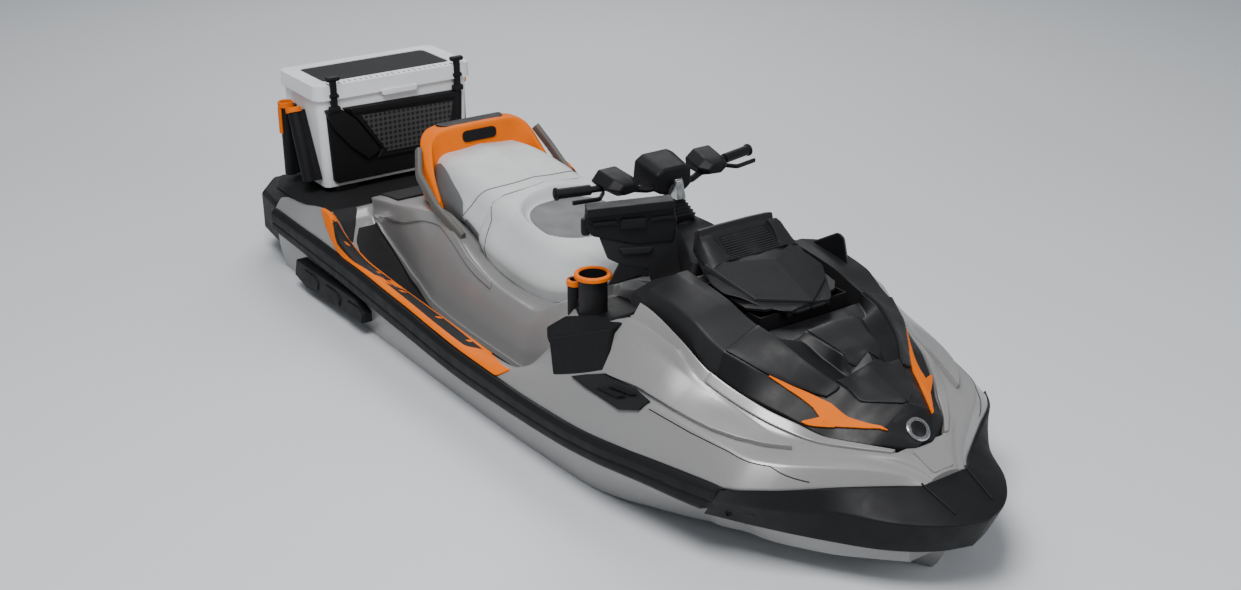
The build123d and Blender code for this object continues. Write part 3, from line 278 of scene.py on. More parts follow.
def hand_over(piece, finish, body, nodes=()):
    """Gives a piece its finish, its body and the solids that it stands for."""
    piece.data.materials.clear()
    piece.data.materials.append(finish.mat)
    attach(piece, body)
    if nodes:
        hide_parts(*nodes)


def for_node(piece, finish, *nodes):
    """Hands over a piece that stands for whole solids."""
    body = next(name for name, members in BODIES.items() if nodes[0] in members)
    hand_over(piece, finish, body, nodes)


def dress(node, finish, bevel):
    """A finished copy of a solid: merged, its edges rounded and its faces smoothed."""
    piece = NODES[node].copy()
    piece.data = NODES[node].data.copy()
    piece.name = node + "_shell"
    piece.parent = None
    bpy.context.collection.objects.link(piece)
    tidy_mesh(piece, flat=0.6)
    if bevel:
        round_edges(piece, bevel)
    crisp(piece)
    for_node(piece, finish, node)


def clamp(value):
    return min(max(value, 0.0), 1.0)


def slopes(places, values):
    """Slopes of a curve through the values that never overshoots them."""
    rises = [(b - a) / (q - p) for p, q, a, b in zip(places, places[1:], values, values[1:])]
    inner = [0.0 if a * b <= 0 else 2 * a * b / (a + b) for a, b in zip(rises, rises[1:])]
    return [rises[0]] + inner + [rises[-1]]


def track(rows):
    """A smooth function through rows of (place, values...), held at its ends."""
    places = [row[0] for row in rows]
    columns = list(zip(*rows))[1:]
    leans = [slopes(places, values) for values in columns]

    def at(x):
        x = min(max(x, places[0]), places[-1])
        k = max(i for i in range(len(places) - 1) if places[i] <= x)
        wide = places[k + 1] - places[k]
        t = (x - places[k]) / wide
        start, end = (1 + 2 * t) * (1 - t) ** 2, t * t * (3 - 2 * t)
        leave, arrive = wide * t * (1 - t) ** 2, wide * t * t * (t - 1)
        return [
            start * v[k] + end * v[k + 1] + leave * s[k] + arrive * s[k + 1] for v, s in zip(columns, leans)
        ]

    return at


def straight(rows):
    """A function through rows of (place, values...) with corners at them."""

    def at(x):
        k = max(i for i in range(len(rows) - 1) if i == 0 or rows[i][0] <= x)
        t = (x - rows[k][0]) / (rows[k + 1][0] - rows[k][0])
        return [a + (b - a) * t for a, b in zip(rows[k][1:], rows[k + 1][1:])]

    return at


def pairs(values):
    return list(zip(values[::2], values[1::2]))


def steps(start, end, pitch, *extra):
    """Even places from start to end, about a pitch apart, with extra ones among them."""
    count = max(1, round(abs(end - start) / pitch))
    return sorted({start + (end - start) * i / count for i in range(count + 1)} | set(extra))


def stations(table, pitch, *extra):
    """Places along a table's x, its own rows among them."""
    return steps(table[0][0], table[-1][0], pitch, *extra, *[row[0] for row in table])


def corner_share(arm, radius):
    """How much of an arm a corner's curve takes up."""
    return min(0.42, radius / max(arm.length, 0.001))


def rounded(points, radius, closed=False):
    """A line with each corner swapped for a small curve."""
    made = []
    count = len(points)
    for i, here in enumerate(points):
        if not closed and i in (0, count - 1):
            made.append(here)
            continue
        here = Vector(here)
        arms = [Vector(points[i - 1]) - here, Vector(points[(i + 1) % count]) - here]
        ends = [arm * corner_share(arm, radius) for arm in arms]
        for t in (0, 0.25, 0.5, 0.75, 1):
            made.append(tuple(here + ends[0] * (1 - t) ** 2 + ends[1] * t * t))
    return made


def arc(centre, radius, start, end, count):
    """Points on an arc between two angles in degrees."""
    turns = [math.radians(start + (end - start) * i / count) for i in range(count + 1)]
    return [(centre[0] + radius * math.cos(a), centre[1] + radius * math.sin(a)) for a in turns]


def mirrored(half):
    """A closed section from a half of (y, z) places that starts and ends on the centreline."""
    return half + [(-y, z) for y, z in reversed(half[1:-1])]


def both_sides(half):
    """A closed ring from a half of (x, y, z) places that starts and ends on the centreline."""
    return half + [(x, -y, z) for x, y, z in reversed(half[1:-1])]


def whole_grid(rows):
    """Rows from one side to the centreline, carried on to the other side."""
    return rows + [[(x, -y, z) for x, y, z in row] for row in reversed(rows[:-1])]


def on_side(ring, side):
    return [(x, side * y, z) for x, y, z in ring]


def standing(x, outline):
    """A ring across the craft, from (y, z) corners."""
    return [(x, y, z) for y, z in outline]


def sheet(name, rows, ring=False, caps=False):
    """A grid whose rows of vertices are given; a ring closes each row and caps close its ends."""
    if ring:
        rows = [list(row) + [row[0]] for row in rows]
    deselect()
    bpy.ops.mesh.primitive_grid_add(x_subdivisions=len(rows[0]) - 1, y_subdivisions=len(rows) - 1)
    piece = bpy.context.object
    piece.name = name
    for vertex, place in zip(piece.data.vertices, [p for row in rows for p in row]):
        vertex.co = Vector(place) * MM
    bpy.ops.object.mode_set(mode="EDIT")
    bpy.ops.mesh.select_all(action="SELECT")
    bpy.ops.mesh.remove_doubles(threshold=MERGE * MM)
    if caps:
        bpy.ops.mesh.select_all(action="DESELECT")
        bpy.ops.mesh.select_non_manifold()
        bpy.ops.mesh.fill_holes(sides=0)
        bpy.ops.mesh.select_all(action="SELECT")
    bpy.ops.mesh.normals_make_consistent(inside=False)
    bpy.ops.object.mode_set(mode="OBJECT")
    return piece


def loft(name, sections, angle=35.0):
    """A closed skin over (x, [(y, z), ...]) sections."""
    piece = sheet(name, [standing(x, section) for x, section in sections], ring=True, caps=True)
    smooth(piece, angle)
    return piece


def join(name, pieces):
    deselect()
    for piece in pieces:
        piece.select_set(True)
    bpy.context.view_layer.objects.active = pieces[0]
    if len(pieces) > 1:
        bpy.ops.object.join()
    pieces[0].name = name
    return pieces[0]


def skin(rows, radius, centre=False):
    """A surface through rounded section corners: line(x) gives the corners and spot(x, u) a place."""
    at = track(rows)

    def line(x):
        values = at(x)
        return pairs(values[:-1] + [0, values[-1]] if centre else values)

    def spot(x, u):
        corners = [Vector(corner) for corner in line(x)]
        i = min(max(round(u), 1), len(corners) - 2)
        arms = [corners[i - 1] - corners[i], corners[i + 1] - corners[i]]
        reach = [corner_share(arm, radius) for arm in arms]
        k = 0 if u < i else 1
        share = abs(u - i)
        if share >= reach[k]:
            return tuple(corners[i] + arms[k] * share)
        t = 0.5 + (0.5 if k else -0.5) * share / reach[k]
        return tuple(corners[i] + arms[0] * reach[0] * (1 - t) ** 2 + arms[1] * reach[1] * t * t)

    return line, spot


def above(surface, x, u, lift, side):
    """A point at a height over a surface, on one side of the craft."""
    near, aslant = 2, 0.04
    along = Vector((2 * near, *[b - a for a, b in zip(surface(x - near, u), surface(x + near, u))]))
    aside = Vector((0, *[b - a for a, b in zip(surface(x, u - aslant), surface(x, u + aslant))]))
    out = aside.cross(along).normalized()
    out = out if out.y + out.z > 0 else -out
    spot = Vector((x, *surface(x, u))) + out * lift
    return (spot.x, side * spot.y, spot.z)


def trace(surface, route, side, lift=0.0):
    """Points along a route of (x, u) corners over a surface."""
    points = []
    for (x0, u0), (x1, u1) in zip(route, route[1:]):
        count = max(3, round(abs(x1 - x0) / 15))
        for i in range(count):
            points.append(above(surface, x0 + (x1 - x0) * i / count, u0 + (u1 - u0) * i / count, lift, side))
    return points + [above(surface, *route[-1], lift, side)]


def inlay(name, surface, rows, lift, thick, whole=False, across=6, pitch=14, edge=1.2, curved=True):
    """A panel on each side, or one whole, that follows a surface over rows of (x, u from, u to)."""
    line = track(rows) if curved else straight(rows)
    made = []
    for side in SIDES[:1] if whole else SIDES:
        grid = []
        for x in stations(rows, pitch):
            low, high = line(x)
            places = [low + (high - low) * i / across for i in range(across + 1)]
            row = [above(surface, x, u, lift, side) for u in places]
            if whole:
                row += [above(surface, x, u, lift, -side) for u in reversed(places[:-1])]
            grid.append(row)
        made.append(sheet(name, grid))
    piece = join(name, made)
    thicken(piece, thick)
    tidy_mesh(piece)
    round_edges(piece, edge, 2, 50)
    smooth(piece, 40)
    return piece


def gem(name, rings, bevel, segments=2, angle=20.0):
    """A faceted block over rings of corners, with rounded edges."""
    piece = sheet(name, rings, ring=True, caps=True)
    round_edges(piece, bevel, segments, angle)
    crisp(piece)
    return piece


def turned(name, profile, base, axis=(0, 0, 1), sides=28):
    """A turned piece: (radius, height) steps round an axis from a base point."""
    up = Vector(axis).normalized()
    across = up.orthogonal().normalized()
    other = up.cross(across)
    turns = [math.tau * i / sides for i in range(sides)]
    spokes = [across * math.cos(a) + other * math.sin(a) for a in turns]
    rows = []
    for radius, height in profile:
        rows.append([tuple(Vector(base) + up * height + spoke * radius) for spoke in spokes])
    piece = sheet(name, rows, ring=True, caps=True)
    smooth(piece)
    return piece


def rod(name, points, radius):
    """A bent round bar along points."""
    curve = bpy.data.curves.new(name, "CURVE")
    curve.dimensions = "3D"
    curve.bevel_depth = radius * MM
    curve.bevel_resolution = 3
    curve.use_fill_caps = True
    spline = curve.splines.new("POLY")
    spline.points.add(len(points) - 1)
    for spot, place in zip(spline.points, points):
        spot.co = (*(Vector(place) * MM), 1)
    piece = bpy.data.objects.new(name, curve)
    bpy.context.collection.objects.link(piece)
    take(piece)
    bpy.ops.object.convert(target="MESH")
    piece = bpy.context.object
    tidy_mesh(piece)
    smooth(piece, 40)
    return piece


def box(name, low, high, bevel, segments=3):
    """A rounded box between two corners."""
    deselect()
    bpy.ops.mesh.primitive_cube_add(size=1)
    piece = bpy.context.object
    piece.name = name
    for vertex in piece.data.vertices:
        share = vertex.co + Vector((0.5, 0.5, 0.5))
        vertex.co = [(a + (b - a) * s) * MM for a, b, s in zip(low, high, share)]
    round_edges(piece, bevel, segments)
    crisp(piece)
    return piece


def prism(name, outline, axis, start, end, bevel, segments=2):
    """A rounded block: an outline in the plane across an axis, from start to end."""
    rows = []
    for level in (start, end):
        row = []
        for a, b in outline:
            spot = [a, b]
            spot.insert(axis, level)
            row.append(tuple(spot))
        rows.append(row)
    piece = sheet(name, rows, ring=True, caps=True)
    if bevel:
        round_edges(piece, bevel, segments)
    crisp(piece)
    return piece


# Height and half breadth of the seam between hull and deck; the shells are drawn in there behind the bumper
SEAM_Z = 205
SHEER_END = 1705
sheer = track([
    (-1500, 570), (-1300, 575), (-780, 588), (-400, 600), (0, 605), (600, 605),
    (870, 598), (1100, 562), (1360, 498), (1540, 372), (1640, 258), (SHEER_END, 176),
])
TUCK_X, TUCK_RUN, TUCK_DEPTH = 1250, 70, 34


def hull_side(x):
    """Half breadth of the shells at the seam."""
    return sheer(x)[0] - TUCK_DEPTH * clamp((x - TUCK_X) / TUCK_RUN)


# Deck stations, outboard to inboard: edge, crest, lip, ledge, floor out, floor in, foot, shoulder
DECK = [
    (-1500, 566, 263, 540, 300, 505, 296, 490, 278, 482, 269, 352, 268, 330, 268, 300, 268),
    (-1300, 572, 263, 546, 332, 512, 322, 494, 290, 484, 271, 352, 269, 335, 270, 305, 270),
    (-1190, 575, 263, 548, 360, 514, 346, 496, 322, 486, 312, 356, 308, 342, 308, 318, 308),
    (-1130, 576, 263, 549, 374, 514, 356, 497, 338, 488, 332, 356, 332, 342, 333, 318, 334),
    (-1062, 577, 262, 549, 380, 515, 354, 498, 326, 486, 312, 352, 312, 343, 318, 330, 338),
    (-1036, 578, 262, 549, 380, 516, 352, 498, 316, 484, 288, 350, 288, 343, 302, 352, 398),
    (-880, 583, 261, 570, 302, 544, 282, 504, 256, 488, 170, 330, 168, 324, 210, 345, 420),
    (-720, 590, 260, 578, 270, 552, 258, 504, 233, 494, 113, 348, 113, 338, 186, 318, 438),
    (-600, 594, 258, 583, 264, 555, 253, 508, 230, 496, 113, 374, 113, 358, 186, 284, 442),
    (-500, 597, 254, 586, 260, 557, 250, 511, 229, 498, 113, 392, 113, 372, 186, 296, 420),
    (-300, 600, 246, 591, 252, 558, 245, 516, 228, 500, 113, 402, 113, 382, 186, 328, 364),
    (-100, 603, 234, 594, 240, 560, 238, 520, 227, 500, 113, 404, 113, 386, 186, 340, 330),
    (100, 604, 225, 596, 231, 564, 232, 524, 224, 502, 113, 404, 113, 388, 186, 344, 326),
    (300, 604, 224, 590, 238, 568, 248, 534, 240, 512, 190, 436, 190, 414, 262, 340, 420),
    (420, 604, 225, 578, 262, 556, 280, 532, 290, 512, 304, 462, 338, 440, 376, 362, 490),
    (560, 603, 229, 562, 288, 538, 316, 516, 340, 498, 368, 470, 412, 448, 456, 386, 556),
    (800, 600, 241, 550, 340, 530, 368, 512, 398, 495, 430, 465, 485, 428, 546, 384, 608),
    (1000, 583, 259, 522, 392, 500, 410, 480, 432, 462, 450, 440, 470, 412, 494, 388, 566),
    (1100, 562, 267, 506, 386, 484, 400, 466, 412, 448, 424, 424, 440, 396, 460, 364, 500),
    (1200, 540, 271, 486, 376, 466, 386, 448, 395, 430, 403, 402, 414, 374, 428, 338, 462),
    (1300, 520, 276, 464, 364, 444, 372, 424, 380, 406, 387, 378, 396, 350, 406, 310, 436),
    (1380, 506, 283, 440, 354, 420, 360, 398, 366, 376, 371, 344, 378, 314, 386, 268, 412),
    (1460, 442, 293, 378, 351, 358, 355, 338, 359, 318, 363, 290, 368, 264, 373, 212, 378),
    (1540, 316, 297, 278, 346, 264, 350, 250, 354, 235, 357, 210, 361, 188, 366, 150, 374),
    (1620, 192, 300, 166, 334, 160, 336, 152, 339, 145, 341, 118, 346, 108, 358, 76, 362),
    (1665, 126, 302, 110, 320, 106, 322, 100, 324, 95, 325, 76, 329, 68, 340, 46, 344),
    (1704, 84, 304, 74, 305, 70, 306, 66, 306.6, 62, 307, 52, 308, 46, 314, 28, 318),
]
DECK_CORNER = 9
deck_line, deck = skin(DECK, DECK_CORNER)

# Tray under the hood and the lid: where it starts, where the bin's well in it ends, its end and its heights
TRAY_START, WELL_END, TRAY_END = 745, 1110, 1606
tray_at = straight([(800, 430), (1605, 338)])
WELL_Y, WELL_FLOOR, DECK_UNDERSIDE = 192, 200, 70

# Starboard recess round the cup holder: heights of its floor along x, and the outer edge of its lining
RECESS_FLOOR = [(430, 462), (610, 480), (700, 518), (800, 572)]
RECESS_Y, RECESS_TOP = (-446, -225), 720
LINING_EDGE = [(470, -398), (532, -428), (610, -440), (700, -440), (790, -420)]
LINING_INNER_Y = -229


def deck_ring(x):
    line = deck_line(x)
    y, z = line[-1]
    tray = tray_at(x)[0]
    if x < TRAY_START:
        inner = [(y * 0.85, z), (y * 0.6, z), (y * 0.3, z)]
    elif x < WELL_END:
        inner = [(y - 8, tray), (WELL_Y, tray), (WELL_Y - 8, WELL_FLOOR)]
    elif x < TRAY_END:
        inner = [(y - 8, tray), (y * 0.6, tray), (y * 0.3, tray)]
    else:
        inner = [(y * 0.85, z), (y * 0.6, z + 1), (y * 0.3, z + 2)]
    seam = hull_side(x)
    under = [(min(500, seam * 0.8), DECK_UNDERSIDE), (seam - 9, SEAM_Z - 6), (seam - 1, SEAM_Z + 1)]
    body = rounded(under + line + inner, DECK_CORNER)
    return mirrored([(0, DECK_UNDERSIDE)] + body + [(0, inner[-1][1])])


def make_deck():
    jumps = [x - gap for x in (TRAY_START, WELL_END, TRAY_END) for gap in (0.1, 0)]
    shell = loft("deck_shell", [(x, deck_ring(x)) for x in stations(DECK, 18, *jumps)], SHELL_ANGLE)
    rim = [(RECESS_FLOOR[-1][0], RECESS_TOP), (RECESS_FLOOR[0][0], RECESS_TOP)]
    cut(shell, prism("recess_cut", RECESS_FLOOR + rim, AXIS_Y, *RECESS_Y, 0))
    smooth(shell, SHELL_ANGLE)
    for_node(shell, GREY, "deck", "foredeck")


def make_recess_lining():
    floor_at = straight(RECESS_FLOOR)
    rows = []
    for x, y in LINING_EDGE:
        z = floor_at(x)[0] + 3
        rows.append([(x, y, z), (x, LINING_INNER_Y, z)])
    lining = sheet("recess_lining", rows)
    thicken(lining, 10)
    tidy_mesh(lining)
    round_edges(lining, 2)
    crisp(lining)
    hand_over(lining, BLACK, "craft")


# Hull stations: keel, lower chine, upper chine and inner top
HULL = [
    (-1500, -250, 468, -85, 540, -10, 62),
    (-700, -270, 478, -90, 558, 0, 62),
    (100, -275, 472, -85, 562, 0, 62),
    (700, -262, 425, -55, 545, 5, 62),
    (1100, -238, 335, -15, 468, 55, 90),
    (1400, -185, 205, 35, 345, 105, 170),
    (1600, -80, 95, 95, 195, 140, 190),
    (1705, 25, 45, 130, 95, 160, 196),
    (1728, 72, 20, 142, 50, 166, 197),
    (1752, 112, 8, 150, 22, 170, 198),
]
hull_at = track(HULL)

# Jet tunnel and the intake duct that leads into it, cut out from below
TUNNEL_RADIUS, TUNNEL_Z, TUNNEL_X = 108, -120, (-1520, -1165)
BELOW_KEEL = -330
DUCT_HALF = 82
DUCT = [(-1170, BELOW_KEEL), (-1170, -38), (-1075, -38), (-745, BELOW_KEEL)]


def hull_ring(x):
    keel, chine_y, chine_z, side_y, side_z, top = hull_at(x)
    past_deck = max(0, x - SHEER_END)
    seam = max(hull_side(x) - past_deck * 2, 26)
    rise = chine_z - keel
    strake = [(chine_y * 0.60, keel + rise * 0.66), (chine_y * 0.62, keel + rise * 0.60)]
    mid = ((seam + side_y) / 2 + 6, (SEAM_Z + side_z) / 2)
    half = [(seam * 0.8, top), (seam - 10, SEAM_Z - 5), (seam - 1, SEAM_Z - 1), mid, (side_y, side_z)]
    half += [(side_y - 10, side_z - 10), (chine_y, chine_z), (chine_y - 6, chine_z - 12)] + strake
    return mirrored([(0, top)] + rounded(half, 9) + [(0, keel)])


def make_hull():
    places = steps(HULL[0][0], HULL[-1][0], 24)
    shell = loft("hull_shell", [(x, hull_ring(x)) for x in places], SHELL_ANGLE)
    roof = arc((0, TUNNEL_Z), TUNNEL_RADIUS, 0, 180, 16)
    tunnel = roof + [(-TUNNEL_RADIUS, BELOW_KEEL), (TUNNEL_RADIUS, BELOW_KEEL)]
    cut(shell, prism("tunnel_cut", tunnel, AXIS_X, *TUNNEL_X, 0))
    cut(shell, prism("duct_cut", DUCT, AXIS_Y, -DUCT_HALF, DUCT_HALF, 0))
    smooth(shell, SHELL_ANGLE)
    for_node(shell, GREY, "hull")


# Rub rails: foot and top heights; the bumper's slanted end covers them, and they draw in under it
rail_at = track([
    (-1500, 165, 262), (-1000, 158, 262), (-700, 152, 260), (-270, 140, 244), (100, 126, 224),
    (400, 134, 224), (700, 150, 234), (1050, 178, 264), (1330, 182, 276),
])
BUMPER_FOOT = 140
COVER_X, COVER_LEAN, COVER_RUN, COVER_INSET = 1258, 0.78, 22, 44
RAIL_DEPTH, RAIL_PROUD = 50, 22


def rail_section(x):
    """A rounded face with a groove."""
    y = sheer(x)[0]
    low, top = rail_at(x)
    groove = low + (top - low) * 0.42
    back, face, bed = y - RAIL_DEPTH, y + RAIL_PROUD, y + RAIL_PROUD - 4
    ring = [
        (back, low), (y + 12, low), (face, low + 14), (face, groove - 4), (bed, groove),
        (bed, groove + 4), (face, groove + 8), (face, top - 16), (y + 9, top), (back, top),
    ]
    section = []
    for out, z in rounded(ring, 5, closed=True):
        covered = clamp((x - COVER_X - COVER_LEAN * (z - BUMPER_FOOT)) / COVER_RUN)
        section.append((max(out - COVER_INSET * covered, back), z))
    return section


def make_rub_rails():
    rails = []
    for side in SIDES:
        sections = [(x, [(side * y, z) for y, z in rail_section(x)]) for x in steps(-1490, 1420, 12)]
        rails.append(loft("rail", sections))
    for_node(join("rub_rail_shells", rails), RUBBER, "rub_rails")


# Bow bumper from its after end (0) to the bow (1): plan lines of its lower edge, crease and top, and heights
BUMPER_LINES = [
    track([
        (0, 1262, 492), (0.25, 1420, 404), (0.5, 1585, 298),
        (0.75, 1706, 202), (0.92, 1790, 88), (1, 1820, 0),
    ]),
    track([
        (0, 1330, 512), (0.25, 1462, 428), (0.5, 1600, 296),
        (0.75, 1735, 208), (0.92, 1838, 86), (1, 1865, 0),
    ]),
    track([
        (0, 1372, 524), (0.25, 1472, 430), (0.5, 1574, 262),
        (0.75, 1662, 130), (0.9, 1694, 85), (1, 1704, 0),
    ]),
]
bumper_heights = track([
    (0, BUMPER_FOOT, 225, 282), (0.25, BUMPER_FOOT, 232, 297), (0.5, BUMPER_FOOT, 242, 300),
    (0.75, BUMPER_FOOT, 246, 302), (1, BUMPER_FOOT, 250, 306),
])
BUMPER_SWELL = (4, 8, 6)


def bumper_points(share):
    """Lower edge, crease and top at a share of the way to the bow."""
    return [Vector((*line(share), z)) for line, z in zip(BUMPER_LINES, bumper_heights(share))]


def make_bumper():
    rows = []
    for share in steps(0, 1, 0.02, 0.9):
        places = bumper_points(share)
        inward = Vector((-share * 0.8, -places[1].y / 400 - 0.001, 0)).normalized()
        low, crease, top = [place - inward * swell for place, swell in zip(places, BUMPER_SWELL)]
        ring = [low + inward * 60, low, crease, top, top + inward * 40 - Vector((0, 0, 18))]
        rows.append(rounded([tuple(place) for place in ring], 7, closed=True))
    bumper = sheet("bumper_shell", whole_grid(rows), ring=True, caps=True)
    smooth(bumper, 32)
    for_node(bumper, RUBBER, "bow_bumper")


def make_bumper_fittings():
    """A bolt near each after end, and a low ridge on each side of the nose."""
    low, crease, _ = bumper_points(0.09)
    spot = low.lerp(crease, 0.4)
    start, end = bumper_points(0.9)[2], bumper_points(0.94)[1]
    bolt = [(10, -8), (10, 1), (8, 3), (5, 3), (5, 0)]
    ridge = [start.lerp(end, t) + Vector((0, 0, 4)) for t in (0.02, 0.4, 0.8)]
    bolts = []
    for side in SIDES:
        base = (spot.x + 4, side * (spot.y + 6), spot.z)
        bolts.append(turned("bumper_bolt", bolt, base, (0.5, side * 0.86, -0.1)))
    hand_over(join("bumper_bolts", bolts), BLACK, "craft")
    ridges = [rod("ridge", on_side(ridge, side), 3) for side in SIDES]
    hand_over(join("bumper_ridges", ridges), RUBBER, "craft")


def make_deck_panels():
    """Raised upper panel of the foredeck, the hood's rim, the snout, and the pedestal's border and foot."""
    snout = [(1630, -58, 0), (1630, 58, 0), (1698, 40, -43), (1698, -40, -43)]
    panels = [
        inlay("upper_panel", deck, [
            (796, 3.3, 6.2), (900, 2.7, 6.45), (1008, 2.1, 6.6), (1100, 1.95, 6.2), (1160, 2.0, 6.2),
            (1232, 2.2, 6.1), (1308, 2.84, 5.8), (1344, 3.48, 5.5), (1400, 4.2, 4.95), (1430, 4.5, 4.65),
        ], 8, 20, across=12, edge=2.5, curved=False),
        inlay("hood_rim", deck, [
            (1112, 6.3, 6.96), (1300, 6.3, 6.96), (1460, 6.3, 6.96), (1540, 6.35, 6.96), (1600, 6.5, 6.96),
        ], 3, 12, edge=2.5, curved=False),
        gem("snout", [
            rounded([(x, y, level + z) for x, y, z in snout], 12, closed=True) for level in (354, 372)
        ], 4),
        inlay("pedestal_border", deck, [
            (-1034, 6.2, 7), (-1000, 6.35, 7), (-976, 6.5, 7), (-800, 6.7, 7), (-660, 6.84, 7),
            (-400, 6.84, 7), (-264, 6.82, 7), (-150, 6.85, 7),
        ], 1, 12, edge=2.5),
        inlay("pedestal_foot", deck, [
            (-1020, 5.9, 6.12), (-880, 5.4, 5.75), (-700, 5.3, 5.62), (-500, 5.08, 5.4), (-100, 5.05, 5.3),
            (140, 5.05, 5.3),
        ], 1, 9, edge=2.5),
    ]
    hand_over(join("deck_panels", panels), GREY, "craft")


def make_deck_gaps():
    """The upper panel's seam and the gap under the seat."""
    seam = [(1030, 0.95), (1188, 0.92), (1324, 0.96), (1436, 0.9), (1520, 0.3)]
    gap = [(-616, 6.97), (-404, 6.97), (-160, 6.95)]
    lines = []
    for side in SIDES:
        lines.append(rod("seam", trace(deck, seam, side), 1.6))
        lines.append(rod("gap", trace(deck, gap, side, 2), 4.5))
    hand_over(join("deck_gaps", lines), GLOSS, "craft")


def make_gunwale_trims():
    """Orange band, thin line and fork, black inserts between them, and short orange dashes on those."""
    trims = [
        inlay("trim_band", deck, [
            (-1074, 0.96, 1.1), (-1040, 0.7, 1.5), (-1020, 0.56, 1.75), (-996, 0.5, 1.88), (-984, 0.46, 1.5),
            (-972, 0.42, 0.96), (-924, 0.28, 0.66), (-904, 0.22, 0.6), (-824, 0.02, 0.6), (-792, 0.02, 0.6),
            (-576, 0.02, 1.36), (-484, 0.02, 1.44), (-172, 0.02, 1.32), (60, 0.02, 1.42), (80, 0.02, 1.6),
            (148, 0.02, 2.68), (300, 0.02, 1.9), (344, 1.4, 1.64),
        ], 2, 8, edge=2),
        inlay("trim_line", deck, [
            (-996, 1.6, 1.88), (-920, 2.8, 3.0), (-784, 2.68, 2.84), (-536, 2.84, 3.0), (-212, 2.78, 2.92),
            (160, 2.5, 2.9),
        ], 2, 7, across=3),
        inlay("trim_fork", deck, [
            (-604, 1.22, 1.4), (-570, 1.3, 2.2), (-530, 1.5, 2.9), (-500, 2.2, 2.95), (-478, 2.8, 2.97),
        ], 2, 8, edge=2),
    ]
    for_node(join("side_trim_shells", trims), ORANGE, "side_trims")
    inserts = [
        inlay("insert_rear", deck, [
            (-984, 1.0, 1.75), (-960, 0.92, 2.2), (-920, 0.7, 2.76), (-904, 0.64, 2.78), (-792, 0.64, 2.66),
            (-680, 1.0, 2.72), (-620, 1.24, 2.8), (-600, 1.9, 2.82), (-588, 2.5, 2.8),
        ], 1, 7),
        inlay("insert_front", deck, [
            (-540, 1.42, 1.5), (-500, 1.46, 2.15), (-484, 1.48, 2.6), (-470, 1.48, 2.82), (-172, 1.36, 2.77),
            (60, 1.46, 2.8), (88, 1.7, 2.8), (146, 2.7, 2.8),
        ], 1, 7),
        inlay("step_pad", deck, [
            (-1185, 4.3, 4.75), (-1130, 4.05, 4.8), (-1060, 3.9, 4.5), (-1023, 3.95, 4.28), (-990, 3.98, 4.1),
        ], 1, 7),
    ]
    hand_over(join("gunwale_inserts", inserts), MAT, "craft")
    dashes = [
        inlay("trim_dash", deck, [(x, u, u + 0.5), (x + 18, u + 0.12, u + 0.62)], 2, 7, across=3)
        for x, u in ((-900, 1.6), (-664, 2.0), (-455, 2.0), (-190, 2.1), (30, 2.1))
    ]
    hand_over(join("trim_dashes", dashes), ORANGE, "craft")


def make_well_mats():
    mats = inlay("well_mats", deck, [
        (-1030, 4.45, 5.6), (-984, 4.2, 5.8), (-844, 4.1, 5.4), (-700, 4.05, 5.28), (-500, 4.05, 5.05),
        (140, 4.05, 4.95),
    ], 2, 9, across=10, edge=2)
    for_node(mats, MAT, "footwell_mats")


def make_knee_boxes():
    """A faced box with an overhanging lid on each side."""
    face = [(552, 545, 303), (792, 507, 407), (757, 460, 525), (461, 500, 391)]
    back = [(552, 480, 300), (790, 450, 420), (757, 410, 515), (450, 450, 400)]
    lip = [
        (461, 504, 391), (759, 464, 525), (778, 430, 545), (626, 420, 512), (490, 450, 469), (436, 490, 420),
    ]
    under = [(x, y - 8, z - 24) for x, y, z in lip]
    boxes = []
    for side in SIDES:
        boxes.append(gem("knee_box", [on_side(face, side), on_side(back, side)], 9))
        boxes.append(gem("knee_lid", [on_side(lip, side), on_side(under, side)], 7))
    for_node(join("knee_box_shells", boxes), BLACK, "knee_panels")


# Side vents, as (x, u) corners on the deck: a raised panel with two slots, drawn as flush dark patches of
# painted shade that stand for the slots' dark openings
VENT = [(650, 2.1), (740, 1.5), (924, 0.74), (1000, 0.84), (1022, 1.5), (950, 2.2), (800, 3.15), (720, 2.65)]
VENT_SHADE_SLOTS = (
    [(792, 1.7), (906, 1.0), (934, 1.2), (822, 1.95)],
    [(838, 2.1), (950, 1.34), (972, 1.52), (872, 2.26)],
)


def deck_plate(name, outline, low, high, side, bevel):
    """A flat plate whose corners stand over the deck, between two heights."""
    return gem(name, [[above(deck, x, u, lift, side) for x, u in outline] for lift in (low, high)], bevel)


def make_side_vents():
    vents = [deck_plate("vent", VENT, -12, 12, side, 4) for side in SIDES]
    for_node(join("side_vent_shells", vents), CHARCOAL, "side_vents")
    # The slots are flush gloss-black plates, not holes: painted shade standing for the dark inside open slots
    slots = [deck_plate("vent_shade_slot", outline, 8, 13, side, 1) for outline in VENT_SHADE_SLOTS for side in SIDES]
    hand_over(join("vent_shade_slots", slots), GLOSS, "craft")


